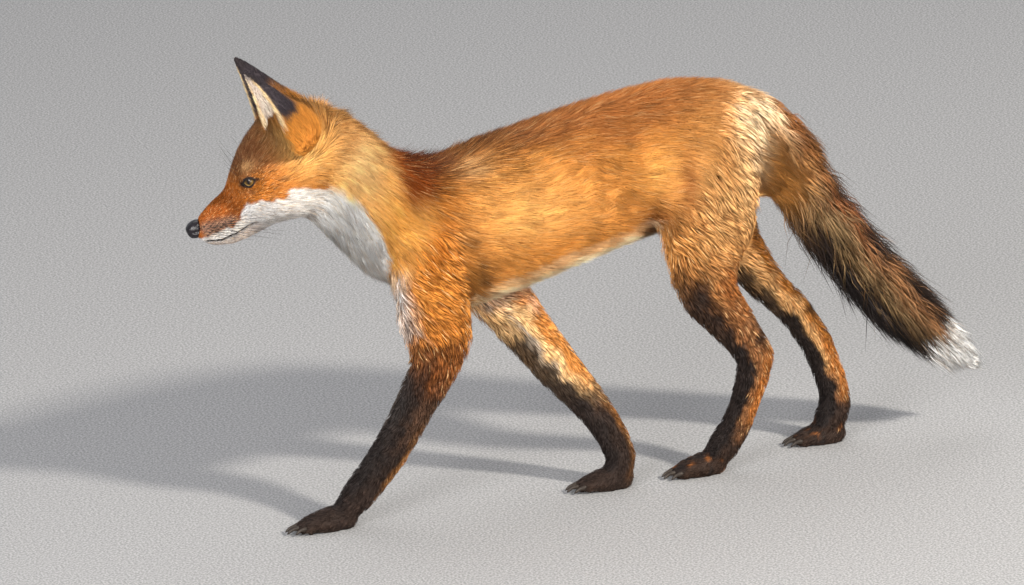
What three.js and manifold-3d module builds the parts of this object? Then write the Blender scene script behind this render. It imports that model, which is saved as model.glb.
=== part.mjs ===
// A red fox walking, life-size, as a still model. Millimetres, +Z up. The nose points to -X, the left
// side to -Y, and the soles stand on Z = 0. Every form reaches out to the tips of the coat.
import * as THREE from "three";
import { mergeVertices } from "three/addons/utils/BufferGeometryUtils.js";
import Module from "manifold-3d";

const wasm = await Module();
wasm.setup();

// ---- Driving dimensions --------------------------------------------------------------------------
const GAP = 0.3; // clearance between two pieces that touch
const BODY_SIDES = 20; // corners of a ring on the trunk, neck and head
const TAIL_SIDES = 16;
const LIMB_SIDES = 12;
const HEAD_YAW = 12; // degrees that the head is turned to the fox's right
const HEAD_PITCH = 30; // degrees that the muzzle points down
const NOSE_TIP = new THREE.Vector3(-399.5, 31, 317.8);
const MIDDLE = [5.3, 2, 0]; // of the whole fox's box, which is moved to stand on the origin
const EYE_RADIUS = 8.6;
const EAR_HEIGHT = 86; // from the root inside the coat to the tip
const EAR_RADIUS = 26.5; // of the cup, at its widest
const EAR_THICKNESS = 2.6;
const TOE_RADIUS = 6.6;
const CLAW_LENGTH = 13;
const CLAW_RADIUS = 1.9;

const UP = new THREE.Vector3(0, 0, 1);
const FORWARD = new THREE.Vector3(-1, 0, 0);
const rad = THREE.MathUtils.degToRad;

// ---- Materials -----------------------------------------------------------------------------------
const finish = (color, roughness) => new THREE.MeshStandardMaterial({ color, roughness, metalness: 0 });
const COAT = {
  red: finish(0xc9732a, 0.85),
  dark: finish(0x3a2a22, 0.85),
  brush: finish(0x7a5a3c, 0.9),
  white: finish(0xe8e4dc, 0.9),
};
const NOSE_LEATHER = finish(0x17151a, 0.45);
const EYE_AMBER = finish(0xb98a3a, 0.15);
const HORN = finish(0x2b2420, 0.5);

// ---- Solids --------------------------------------------------------------------------------------
function solid(geometry) {
  const bare = geometry.clone();
  bare.deleteAttribute("normal");
  bare.deleteAttribute("uv");
  const merged = mergeVertices(bare, 1e-4);
  return new wasm.Manifold(
    new wasm.Mesh({
      numProp: 3,
      vertProperties: new Float32Array(merged.attributes.position.array),
      triVerts: new Uint32Array(merged.index.array),
    }),
  );
}

function meshNamed(name, made, material) {
  const { numProp, numVert, vertProperties, triVerts } = made.getMesh();
  const position = new Float32Array(numVert * 3);
  for (let i = 0; i < numVert; i++) {
    MIDDLE.forEach((offset, axis) => {
      position[i * 3 + axis] = vertProperties[i * numProp + axis] - offset;
    });
  }
  const geometry = new THREE.BufferGeometry();
  geometry.setAttribute("position", new THREE.BufferAttribute(position, 3));
  geometry.setIndex(new THREE.BufferAttribute(new Uint32Array(triVerts), 1));
  geometry.computeVertexNormals();
  const mesh = new THREE.Mesh(geometry, material);
  mesh.name = name;
  return mesh;
}

// A closed skin drawn round rows of [x, y, z, half side, reach up or front, reach down or back]. The
// rings stand square to the smooth line through the centres, and `upright` says which way is up on them.
function loft(rows, { sides, rings, upright = UP, square = 2.2, pinch = 0, grow = 0 }) {
  const centres = new THREE.CatmullRomCurve3(rows.map(([x, y, z]) => new THREE.Vector3(x, y, z)));
  const reaches = new THREE.CatmullRomCurve3(
    rows.map(([, , , side, up, down]) => new THREE.Vector3(side, up, down)),
    false,
    "catmullrom",
    0.4,
  );
  const count = (rows.length - 1) * rings;
  const points = [];
  for (let i = 0; i <= count; i++) {
    const t = i / count;
    const centre = centres.getPoint(t);
    const along = centres.getTangent(t);
    const up = upright.clone().addScaledVector(along, -upright.dot(along)).normalize();
    const side = up.clone().cross(along);
    const reach = reaches.getPoint(t).addScalar(grow);
    for (let j = 0; j < sides; j++) {
      const angle = (2 * Math.PI * j) / sides;
      const c = Math.cos(angle);
      const s = Math.sin(angle);
      const across = Math.sign(c) * Math.abs(c) ** (2 / square) * reach.x * (1 - pinch * Math.max(0, s));
      const rise = Math.sign(s) * Math.abs(s) ** (2 / square) * (s > 0 ? reach.y : reach.z);
      points.push(centre.clone().addScaledVector(side, across).addScaledVector(up, rise));
    }
  }
  return solid(tube(points, sides, count, centres.getPoint(0), centres.getPoint(1)));
}

// Joins rings of points into one closed surface, with a fan of faces at each end.
function tube(points, sides, count, first, last) {
  const start = points.length;
  const faces = [];
  for (let j = 0; j < sides; j++) {
    const k = (j + 1) % sides;
    faces.push(start, k, j, start + 1, count * sides + j, count * sides + k);
    for (let i = 0; i < count; i++) {
      const a = i * sides;
      const b = a + sides;
      faces.push(a + j, a + k, b + k, a + j, b + k, b + j);
    }
  }
  return new THREE.BufferGeometry().setFromPoints([...points, first, last]).setIndex(faces);
}

// Everything on one side of a plane: the side that `normal` points to.
const REACH = 1400;
function beyond(point, normal, gap = GAP / 2) {
  const box = new THREE.BoxGeometry(REACH, REACH, REACH).translate(0, 0, REACH / 2 + gap);
  box.applyQuaternion(new THREE.Quaternion().setFromUnitVectors(UP, normal.clone().normalize()));
  return solid(box.translate(point.x, point.y, point.z));
}
const behind = (point, normal) => beyond(point, normal.clone().negate());
const above = (height) => beyond(new THREE.Vector3(0, 0, height), UP, 0);

const joined = (solids) => solids.reduce((all, next) => all.add(next));
const without = (made, others) => others.reduce((left, next) => left.subtract(next), made);

// ---- Trunk and neck ------------------------------------------------------------------------------
const TRUNK = [
  [-214, 0, 262, 12, 16, 16],
  [-204, 0, 268, 32, 46, 42],
  [-182, 0, 278, 47, 74, 68],
  [-145, 0, 287, 54, 82, 82],
  [-85, 0, 303, 56, 83, 84],
  [-20, 0, 319, 53, 81, 82],
  [45, 0, 334, 47, 79, 81],
  [100, 0, 340, 46, 79, 76],
  [145, 0, 336, 47, 74, 66],
  [182, 0, 326, 42, 64, 54],
  [208, 0, 312, 30, 44, 38],
  [220, 0, 304, 12, 16, 14],
];
const NECK = [
  [-120, 0, 292, 44, 60, 66],
  [-160, 0, 299, 49, 72, 72],
  [-199, 0, 310, 49, 69, 66],
  [-233, 1, 334, 45, 63, 50],
  [-262, 4, 362, 44, 64, 46],
  [-288, 9, 388, 40, 62, 40],
];
const BODY_FORM = { sides: BODY_SIDES, rings: 1, square: 2.25, pinch: 0.16 };

// ---- Head ----------------------------------------------------------------------------------------
// The head is drawn along its own axis, which runs from the tip of the nose back to the nape: x back,
// y to the fox's right, z up. headFrame carries that into the fox's own axes.
const headFrame = new THREE.Matrix4()
  .makeTranslation(NOSE_TIP.x, NOSE_TIP.y, NOSE_TIP.z)
  .multiply(new THREE.Matrix4().makeRotationZ(-rad(HEAD_YAW)))
  .multiply(new THREE.Matrix4().makeRotationY(-rad(HEAD_PITCH)));
const inHead = (x, y, z) => new THREE.Vector3(x, y, z).applyMatrix4(headFrame);
const headWay = (x, y, z) => new THREE.Vector3(x, y, z).transformDirection(headFrame);

// [distance behind the nose, half width, height of the profile above the axis, depth below it]
const SKULL_PROFILE = [
  [3, 7, 0, -13],
  [9, 12, 5, -21],
  [18, 14, 9, -30],
  [31, 16, 12, -37.5],
  [45, 18.5, 13.5, -40.5],
  [57, 23, 16, -42],
  [67, 30, 23, -44],
  [79, 38, 33, -48],
  [92, 45, 43, -53],
  [106, 50, 52, -58],
  [124, 52, 58, -62],
  [144, 49, 58, -60],
  [163, 43, 51, -50],
  [180, 33, 38, -36],
  [190, 15, 20, -18],
];
const SKULL = SKULL_PROFILE.map(([back, half, top, bottom]) => {
  const middle = inHead(back, 0, (top + bottom) / 2);
  return [...middle.toArray(), half, (top - bottom) / 2, (top - bottom) / 2];
});
const HEAD_FORM = { sides: BODY_SIDES, rings: 1, square: 2.15, pinch: 0.2 };

const EYE_PLACE = { back: 82, aside: 23.5, above: 14 };
const eyeCentre = (sign) => inHead(EYE_PLACE.back, sign * EYE_PLACE.aside, EYE_PLACE.above);
const lookWay = (sign) => headWay(-0.36, sign * 0.9, 0.2);
function ball(centre, radius) {
  return solid(new THREE.SphereGeometry(radius, 12, 8).translate(centre.x, centre.y, centre.z));
}

// The room an eye needs in the head: its ball, and a shallow saucer of an orbit in front of it.
function eyeRoom(sign) {
  const orbit = eyeCentre(sign).addScaledVector(lookWay(sign), EYE_RADIUS * 1.63);
  return ball(eyeCentre(sign), EYE_RADIUS + GAP).add(ball(orbit, EYE_RADIUS * 1.28));
}

// The leather of the nose: a rounded wedge, wider above than below.
function noseLeather(grow) {
  const rows = [
    [-3.8, 3.0, -0.4, -6.5],
    [-2.4, 6.0, 2.6, -9.5],
    [1.5, 8.0, 4.8, -11.8],
    [7, 8.0, 5.4, -12.6],
    [13, 5.5, 3.4, -9.5],
  ].map(([back, half, top, bottom]) => {
    const middle = inHead(back, 0, (top + bottom) / 2);
    return [...middle.toArray(), half, (top - bottom) / 2, (top - bottom) / 2];
  });
  return loft(rows, { sides: 12, rings: 1, square: 2.4, pinch: -0.12, grow });
}

// The lower jaw is what lies under the mouth line and ahead of the jaw's hinge.
const MOUTH_FRONT = inHead(4, 0, -16.5);
const MOUTH_CORNER = inHead(66, 0, -25);
function belowMouth(gap) {
  const along = MOUTH_CORNER.clone().sub(MOUTH_FRONT).normalize();
  const down = along.clone().cross(headWay(0, 1, 0));
  if (down.z > 0) down.negate();
  return beyond(MOUTH_FRONT, down, gap).intersect(beyond(MOUTH_CORNER, along.clone().negate(), gap));
}

// An ear is a thin cup that stands on the crown and opens forwards and outwards. Each level has a
// crescent section, from a wide cup at the foot to a narrow fold at the tip.
const EAR_LEVELS = 7;
const EAR_CORNERS = 7; // faces across the crescent
const EAR_FOOT = { back: 142.5, aside: 29, above: 43 };
const EAR_TOP = { back: 133.5, aside: 36, above: 113.5 };
const EAR_PRICKED = 3.5; // the right ear stands this much further forward than the middle, the left less
const EAR_OPENS = 30; // degrees from straight ahead towards the side
function ear(sign) {
  const place = ({ back, aside, above }) => inHead(back - sign * EAR_PRICKED, sign * aside, above);
  const foot = place(EAR_FOOT);
  const top = place(EAR_TOP);
  const axis = top.clone().sub(foot).normalize();
  const open = headWay(-Math.cos(rad(EAR_OPENS)), sign * Math.sin(rad(EAR_OPENS)), 0);
  open.addScaledVector(axis, -open.dot(axis)).normalize();
  const across = axis.clone().cross(open);
  const root = foot.clone().addScaledVector(axis, -(EAR_HEIGHT - foot.distanceTo(top)));
  const points = [];
  for (let i = 0; i <= EAR_LEVELS; i++) {
    const t = i / EAR_LEVELS;
    const radius = EAR_RADIUS * (1 - t) ** 0.8 * (1 + 0.2 * t) + EAR_THICKNESS * 0.5;
    const spread = rad(128 - 48 * t);
    const thickness = EAR_THICKNESS * (1 - 0.45 * t);
    const centre = root.clone().addScaledVector(axis, EAR_HEIGHT * t);
    const rim = (angle, r) =>
      centre
        .clone()
        .addScaledVector(open, -Math.cos(angle) * r + radius * 0.25)
        .addScaledVector(across, Math.sin(angle) * r);
    const turns = Array.from({ length: EAR_CORNERS + 1 }, (_, j) => spread * ((2 * j) / EAR_CORNERS - 1));
    points.push(...turns.map((angle) => rim(angle, radius)));
    points.push(...turns.reverse().map((angle) => rim(angle, Math.max(radius - thickness, 0.3))));
  }
  return solid(crescentTube(points, EAR_CORNERS + 1, EAR_LEVELS));
}

// Joins crescent rings, whose points run out along the back and home along the inside.
function crescentTube(points, half, count) {
  const sides = 2 * half;
  const faces = [];
  for (let i = 0; i < count; i++) {
    for (let j = 0; j < sides; j++) {
      const a = i * sides + j;
      const b = i * sides + ((j + 1) % sides);
      faces.push(a, b + sides, b, a, a + sides, b + sides);
    }
  }
  const end = count * sides;
  for (let j = 0; j < half - 1; j++) {
    const [out, inn] = [j, sides - 1 - j];
    faces.push(out, out + 1, inn, out + 1, inn - 1, inn);
    faces.push(end + out, end + inn, end + out + 1, end + out + 1, end + inn, end + inn - 1);
  }
  return new THREE.BufferGeometry().setFromPoints(points).setIndex(faces);
}

// ---- Tail ----------------------------------------------------------------------------------------
const TAIL = [
  [176, 0, 368, 20, 22, 24],
  [198, 0, 350, 29, 31, 38],
  [222, 0, 308, 35, 38, 42],
  [244, 1, 265, 40, 43, 43],
  [268, 2, 226, 42, 44, 44],
  [310, 3, 170, 37, 39, 39],
  [350, 4, 125, 29, 31, 31],
  [380, 5, 94, 22, 23, 23],
  [402, 5, 75, 12, 13, 12],
  [412, 5, 67, 3, 3, 3],
];
const TAIL_FORM = { sides: TAIL_SIDES, rings: 1, square: 2.05 };
const TAIL_JOINTS = [new THREE.Vector3(244, 1, 265), new THREE.Vector3(340, 4, 136)];
const WHITE_TIP = new THREE.Vector3(379, 5, 95);
const TAIL_WAY = new THREE.Vector3(0.64, 0, -0.77).normalize();

// ---- Legs ----------------------------------------------------------------------------------------
// Rows run down the leg; the last two columns are the reach in front of and behind the bone line.
const FORELEG_LEFT = [
  [-160, -34, 318, 10, 20, 20],
  [-168, -38, 290, 18, 34, 32],
  [-177, -40, 255, 21, 42, 42],
  [-175, -41, 218, 21, 40, 42],
  [-169, -40, 190, 20, 35, 37],
  [-174, -37, 165, 18, 27, 29],
  [-189, -33, 134, 16.5, 23, 23],
  [-207, -27, 100, 15.5, 20.5, 20.5],
  [-224, -23, 73, 15.5, 19.5, 20.5],
  [-241, -19, 50, 16, 18, 19],
  [-257, -16, 32, 17, 15, 19],
  [-270, -14, 18, 15, 11, 13],
];
const FORELEG_RIGHT = [
  [-128, 32, 318, 10, 20, 20],
  [-126, 36, 288, 18, 34, 30],
  [-114, 37, 252, 21, 38, 38],
  [-94, 36, 216, 20, 35, 36],
  [-74, 32, 190, 20, 31, 31],
  [-52, 27, 157, 18, 27, 27],
  [-31, 20, 126, 16, 24.5, 24.5],
  [-9, 12, 96, 15, 20.5, 20.5],
  [6, 4, 73, 14.5, 18, 18.5],
  [17, -4, 51, 15, 16.5, 17],
  [23, -9, 31, 16, 16, 16],
  [20, -12, 16, 15, 14, 14],
];
const HINDLEG_LEFT = [
  [158, -26, 394, 8, 18, 18],
  [150, -31, 368, 18, 38, 32],
  [138, -34, 328, 24, 54, 42],
  [120, -38, 285, 25, 61, 54],
  [110, -39, 245, 24, 46, 47],
  [110, -38, 216, 22, 36, 38],
  [118, -37, 194, 20, 31, 31],
  [130, -36, 176, 18, 27, 27],
  [144, -33, 156, 16, 23.5, 23.5],
  [155, -31, 139, 15, 21, 21],
  [162, -29, 123, 14.5, 20, 23],
  [161, -26, 103, 13.5, 18.5, 18.5],
  [156, -22, 84, 13, 16.5, 16.5],
  [150, -18, 64, 13.5, 15.5, 15.5],
  [142, -14, 44, 15, 16, 16],
  [130, -12, 27, 16, 16, 17],
  [120, -11, 15, 14, 12, 13],
];
const HINDLEG_RIGHT = [
  [158, 26, 394, 8, 18, 18],
  [154, 31, 368, 18, 38, 30],
  [150, 34, 328, 24, 56, 36],
  [150, 37, 285, 25, 58, 40],
  [156, 39, 248, 23, 48, 38],
  [168, 40, 222, 20, 36, 32],
  [185, 39, 197, 18, 26, 26],
  [205, 38, 171, 16, 21.5, 22],
  [224, 38, 150, 15, 20, 20.5],
  [241, 38, 126, 14.5, 19.5, 21],
  [251, 37, 104, 13.5, 18, 18],
  [259, 36, 81, 13, 17, 17],
  [265, 35, 59, 13.5, 16.5, 16.5],
  [267, 34, 41, 15, 17, 17],
  [262, 34, 26, 16, 18, 17],
  [254, 33.5, 15, 14, 14, 15],
];
const LIMB_FORM = { sides: LIMB_SIDES, rings: 1, upright: FORWARD, square: 2.1 };

// ---- Paws ----------------------------------------------------------------------------------------
// A paw is a low pad behind four toes. It is drawn pointing along +X and then turned to its heading.
const TOES = [
  { across: -1.45, ahead: 0.31 },
  { across: -0.52, ahead: 0.42 },
  { across: 0.52, ahead: 0.42 },
  { across: 1.45, ahead: 0.31 },
];
function pawForms({ length, height }) {
  const along = (rows, sides) => loft(rows, { sides, rings: 1, square: 2.1 });
  const pad = along([
    [-length * 0.52, 0, height * 0.3, 7, 5, 6],
    [-length * 0.4, 0, height * 0.4, 14, height * 0.42, height * 0.42],
    [-length * 0.1, 0, height * 0.42, 17.5, height * 0.55, height * 0.46],
    [length * 0.14, 0, height * 0.36, 17, height * 0.4, height * 0.38],
    [length * 0.26, 0, height * 0.3, 11, height * 0.22, height * 0.26],
  ], 10);
  const toes = TOES.map(({ across, ahead }) => {
    const y = across * TOE_RADIUS;
    return along([
      [0, y * 0.8, height * 0.42, TOE_RADIUS * 0.8, TOE_RADIUS * 0.9, TOE_RADIUS],
      [length * (ahead - 0.16), y * 0.95, height * 0.4, TOE_RADIUS, TOE_RADIUS * 1.15, TOE_RADIUS * 1.1],
      [length * ahead, y, height * 0.27, TOE_RADIUS * 0.95, TOE_RADIUS, TOE_RADIUS],
      [length * (ahead + 0.1), y, height * 0.22, TOE_RADIUS * 0.4, TOE_RADIUS * 0.5, TOE_RADIUS * 0.5],
    ], 6);
  });
  return joined([pad, ...toes]);
}

// A claw grows out of the end of its toe and curves down to just clear of the floor.
function clawForm({ length, height }, { across, ahead }, grow) {
  const y = across * TOE_RADIUS;
  const x = length * (ahead + 0.04);
  const z = height * 0.3;
  const rows = [
    [x - 1, y, z, CLAW_RADIUS * 0.8, CLAW_RADIUS, CLAW_RADIUS],
    [x + CLAW_LENGTH * 0.55, y, z - 1.0, CLAW_RADIUS * 0.7, CLAW_RADIUS * 0.9, CLAW_RADIUS * 0.9],
    [x + CLAW_LENGTH, y, z - 5, 0.3, 0.35, 0.35],
  ];
  return loft(rows, { sides: 5, rings: 1, grow });
}

// ---- Each leg: its bone rows, where it is cut, and its paw ---------------------------------------
const LEGS = [
  {
    rows: FORELEG_LEFT,
    pieces: ["upper_foreleg_left", "forearm_left"],
    cuts: [4.4],
    paw: { name: "forepaw_left", x: -289, y: -13.5, length: 62, height: 25, heading: 180 },
    lastRow: 9.5,
    claws: "claw_fore_left",
  },
  {
    rows: FORELEG_RIGHT,
    pieces: ["upper_foreleg_right", "forearm_right"],
    cuts: [4.2],
    paw: { name: "forepaw_right", x: 3, y: -12.5, length: 58, height: 25, heading: 176 },
    lastRow: 9.6,
    claws: "claw_fore_right",
  },
  {
    rows: HINDLEG_LEFT,
    pieces: ["thigh_left", "shank_left", "metatarsus_left"],
    cuts: [5.4, 10.6],
    paw: { name: "hindpaw_left", x: 104, y: -10.5, length: 56, height: 24, heading: 181 },
    lastRow: 14.4,
    claws: "claw_hind_left",
  },
  {
    rows: HINDLEG_RIGHT,
    pieces: ["thigh_right", "shank_right", "metatarsus_right"],
    cuts: [5.2, 9.6],
    paw: { name: "hindpaw_right", x: 247, y: 33.5, length: 54, height: 24, heading: 176 },
    lastRow: 13.4,
    claws: "claw_hind_right",
  },
];

// The plane across a leg at a fractional row number, facing down the leg.
function acrossLeg(rows, at) {
  const line = new THREE.CatmullRomCurve3(rows.map(([x, y, z]) => new THREE.Vector3(x, y, z)));
  const t = at / (rows.length - 1);
  return { point: line.getPoint(t), normal: line.getTangent(t) };
}

function placedPaw(made, { x, y, heading }) {
  return made.rotate([0, 0, heading]).translate([x, y, 0]);
}

function legMeshes({ rows, pieces, cuts, paw, lastRow, claws }) {
  const limb = loft(rows, LIMB_FORM);
  const planes = [...cuts, lastRow].map((at) => acrossLeg(rows, at));
  const foot = placedPaw(pawForms(paw), paw);
  const whole = limb.add(foot).intersect(above(0));
  const meshes = pieces.map((name, i) => {
    let piece = whole.intersect(behind(planes[i].point, planes[i].normal));
    if (i > 0) piece = piece.intersect(beyond(planes[i - 1].point, planes[i - 1].normal));
    return meshNamed(name, largest(piece), i === 0 ? COAT.red : COAT.dark);
  });
  const clawSolids = TOES.map((toe) => placedPaw(clawForm(paw, toe, 0), paw));
  const clawRooms = TOES.map((toe) => placedPaw(clawForm(paw, toe, GAP), paw));
  const ankle = planes[planes.length - 1];
  const pawSolid = without(whole.intersect(beyond(ankle.point, ankle.normal)), clawRooms);
  meshes.push(meshNamed(paw.name, largest(pawSolid), COAT.dark));
  clawSolids.forEach((made, i) => meshes.push(meshNamed(`${claws}_${i + 1}`, made, HORN)));
  return meshes;
}

// A cut can leave a sliver behind; a piece keeps only its largest body.
function largest(made) {
  const bodies = made.decompose();
  return bodies.reduce((best, next) => (next.volume() > best.volume() ? next : best));
}

// ---- The whole fox -------------------------------------------------------------------------------
const fox = new THREE.Group();
const add = (name, made, material) => fox.add(meshNamed(name, largest(made), material));

const legRooms = LEGS.map(({ rows }) => loft(rows, { ...LIMB_FORM, grow: GAP }));
const neckForm = loft(NECK, BODY_FORM);
const torso = without(joined([loft(TRUNK, BODY_FORM), neckForm]), legRooms);
const skull = loft(SKULL, HEAD_FORM);

const NECK_ROOT = new THREE.Vector3(-190, 0, 308);
const NECK_WAY = new THREE.Vector3(-0.95, 0, 0.3).normalize();
const HEAD_ROOT = inHead(141, 0, 0);
const HEAD_WAY = headWay(-Math.cos(rad(16)), 0, -Math.sin(rad(-16)));

add("trunk", torso.intersect(behind(NECK_ROOT, NECK_WAY)), COAT.red);
const foreparts = joined([torso.intersect(beyond(NECK_ROOT, NECK_WAY)), without(skull, legRooms)]);
add("neck", foreparts.intersect(behind(HEAD_ROOT, HEAD_WAY)), COAT.red);

const signs = { left: -1, right: 1 };
const eyeRooms = Object.values(signs).map(eyeRoom);
const faceForm = without(foreparts.intersect(beyond(HEAD_ROOT, HEAD_WAY)), [noseLeather(GAP), ...eyeRooms]);
add("head", faceForm.subtract(belowMouth(-GAP)), COAT.red);
add("lower_jaw", faceForm.intersect(belowMouth(GAP)), COAT.white);
add("nose", noseLeather(0), NOSE_LEATHER);
const earFloor = loft(SKULL, { ...HEAD_FORM, grow: GAP }).add(loft(NECK, { ...BODY_FORM, grow: GAP }));
for (const [name, sign] of Object.entries(signs)) {
  add(`eye_${name}`, ball(eyeCentre(sign), EYE_RADIUS), EYE_AMBER);
  add(`ear_${name}`, ear(sign).subtract(earFloor), COAT.dark);
}

const trunkRoom = loft(TRUNK, { ...BODY_FORM, grow: GAP });
const brush = without(loft(TAIL, TAIL_FORM), [trunkRoom, ...legRooms]);
const tailCuts = [...TAIL_JOINTS, WHITE_TIP];
["tail_root", "tail_middle", "tail_end", "tail_tip"].forEach((name, i) => {
  let piece = brush;
  if (i < tailCuts.length) piece = piece.intersect(behind(tailCuts[i], TAIL_WAY));
  if (i > 0) piece = piece.intersect(beyond(tailCuts[i - 1], TAIL_WAY));
  add(name, piece, name === "tail_tip" ? COAT.white : COAT.brush);
});

for (const leg of LEGS) {
  for (const mesh of legMeshes(leg)) fox.add(mesh);
}

export default fox;
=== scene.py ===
import math

import bmesh
import bpy
import numpy as np
from mathutils import Matrix, Vector
from mathutils.bvhtree import BVHTree
from mathutils.kdtree import KDTree


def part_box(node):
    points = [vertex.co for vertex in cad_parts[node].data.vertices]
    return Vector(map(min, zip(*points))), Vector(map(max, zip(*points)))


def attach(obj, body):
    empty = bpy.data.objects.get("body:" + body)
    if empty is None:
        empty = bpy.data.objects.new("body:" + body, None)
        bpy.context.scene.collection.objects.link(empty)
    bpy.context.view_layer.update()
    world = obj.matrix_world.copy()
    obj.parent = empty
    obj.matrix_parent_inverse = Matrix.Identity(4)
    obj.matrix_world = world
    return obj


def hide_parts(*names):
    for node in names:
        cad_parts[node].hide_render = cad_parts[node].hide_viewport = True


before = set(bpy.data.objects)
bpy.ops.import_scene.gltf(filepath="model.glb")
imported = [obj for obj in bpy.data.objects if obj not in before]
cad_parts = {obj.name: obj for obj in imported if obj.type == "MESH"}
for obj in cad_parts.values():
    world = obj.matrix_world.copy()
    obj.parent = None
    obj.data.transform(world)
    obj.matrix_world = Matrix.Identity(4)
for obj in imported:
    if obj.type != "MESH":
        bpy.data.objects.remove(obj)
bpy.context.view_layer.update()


# ---- The camera ----------------------------------------------------------------------------------
# A long lens 9 m from the fox's left side, a little ahead of it, looking down on its back, and held
# with a slight roll. The fox is planned in millimetres, from a point a little off the middle of its
# box; metres() and plan_mm() pass between that plan and the scene.
MM = 0.001
MIDDLE = np.array((5.3, 2.0, 0.0))


def metres(points):
    return (np.asarray(points) - MIDDLE) * MM


def plan_mm(coordinates):
    return np.asarray(coordinates) / MM + MIDDLE


CAMERA = {"azimuth": -16.0, "elevation": 17.5, "roll": 3.0, "distance": 9.0, "target": (-79.5, 0.0, 216.0)}
SENSOR_WIDTH = 36.0
SEEN_WIDTH = 1.024  # metres across the whole picture, at the fox
azimuth, elevation, roll = (math.radians(CAMERA[turn]) for turn in ("azimuth", "elevation", "roll"))
away = Vector((math.sin(azimuth) * math.cos(elevation), -math.cos(azimuth) * math.cos(elevation),
               math.sin(elevation)))
across = Vector((math.cos(azimuth), math.sin(azimuth), 0))
upright = away.cross(across)
seen_right = math.cos(roll) * across - math.sin(roll) * upright
seen_up = math.sin(roll) * across + math.cos(roll) * upright
camera_data = bpy.data.cameras.new("camera")
camera_data.sensor_width = SENSOR_WIDTH
camera_data.lens = SENSOR_WIDTH * CAMERA["distance"] / SEEN_WIDTH
camera_data.clip_end = 60
camera = bpy.data.objects.new("camera", camera_data)
placed = Matrix((seen_right, seen_up, away)).transposed().to_4x4()
placed.translation = Vector(metres(CAMERA["target"])) + away * CAMERA["distance"]
camera.matrix_world = placed
bpy.context.scene.collection.objects.link(camera)
bpy.context.scene.camera = camera
bpy.context.scene.view_settings.view_transform = "Standard"


# ---- The fox's plan ------------------------------------------------------------------------------
# Lines run through the body the way the coat lies: nose to rump, along the tail, and down each leg.
# Each row gives a place on its line, the reach out to the coat's tips, how deep the coat is there,
# how long and how wide its locks are, and how many stand on a square millimetre.
NOSE_TIP = np.array((-399.5, 31.0, 317.8))
HEAD_YAW, HEAD_PITCH = math.radians(12), math.radians(30)
HEAD_BACK = np.array((math.cos(HEAD_PITCH) * math.cos(HEAD_YAW),
                      -math.cos(HEAD_PITCH) * math.sin(HEAD_YAW), math.sin(HEAD_PITCH)))
HEAD_RIGHT = np.array((math.sin(HEAD_YAW), math.cos(HEAD_YAW), 0.0))
HEAD_UP = np.array((-math.sin(HEAD_PITCH) * math.cos(HEAD_YAW),
                    math.sin(HEAD_PITCH) * math.sin(HEAD_YAW), math.cos(HEAD_PITCH)))


def in_head(back, aside, above):
    return NOSE_TIP + back * HEAD_BACK + aside * HEAD_RIGHT + above * HEAD_UP


def head_row(back, above, *rest):
    return (*in_head(back, 0, above), *rest)


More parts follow.
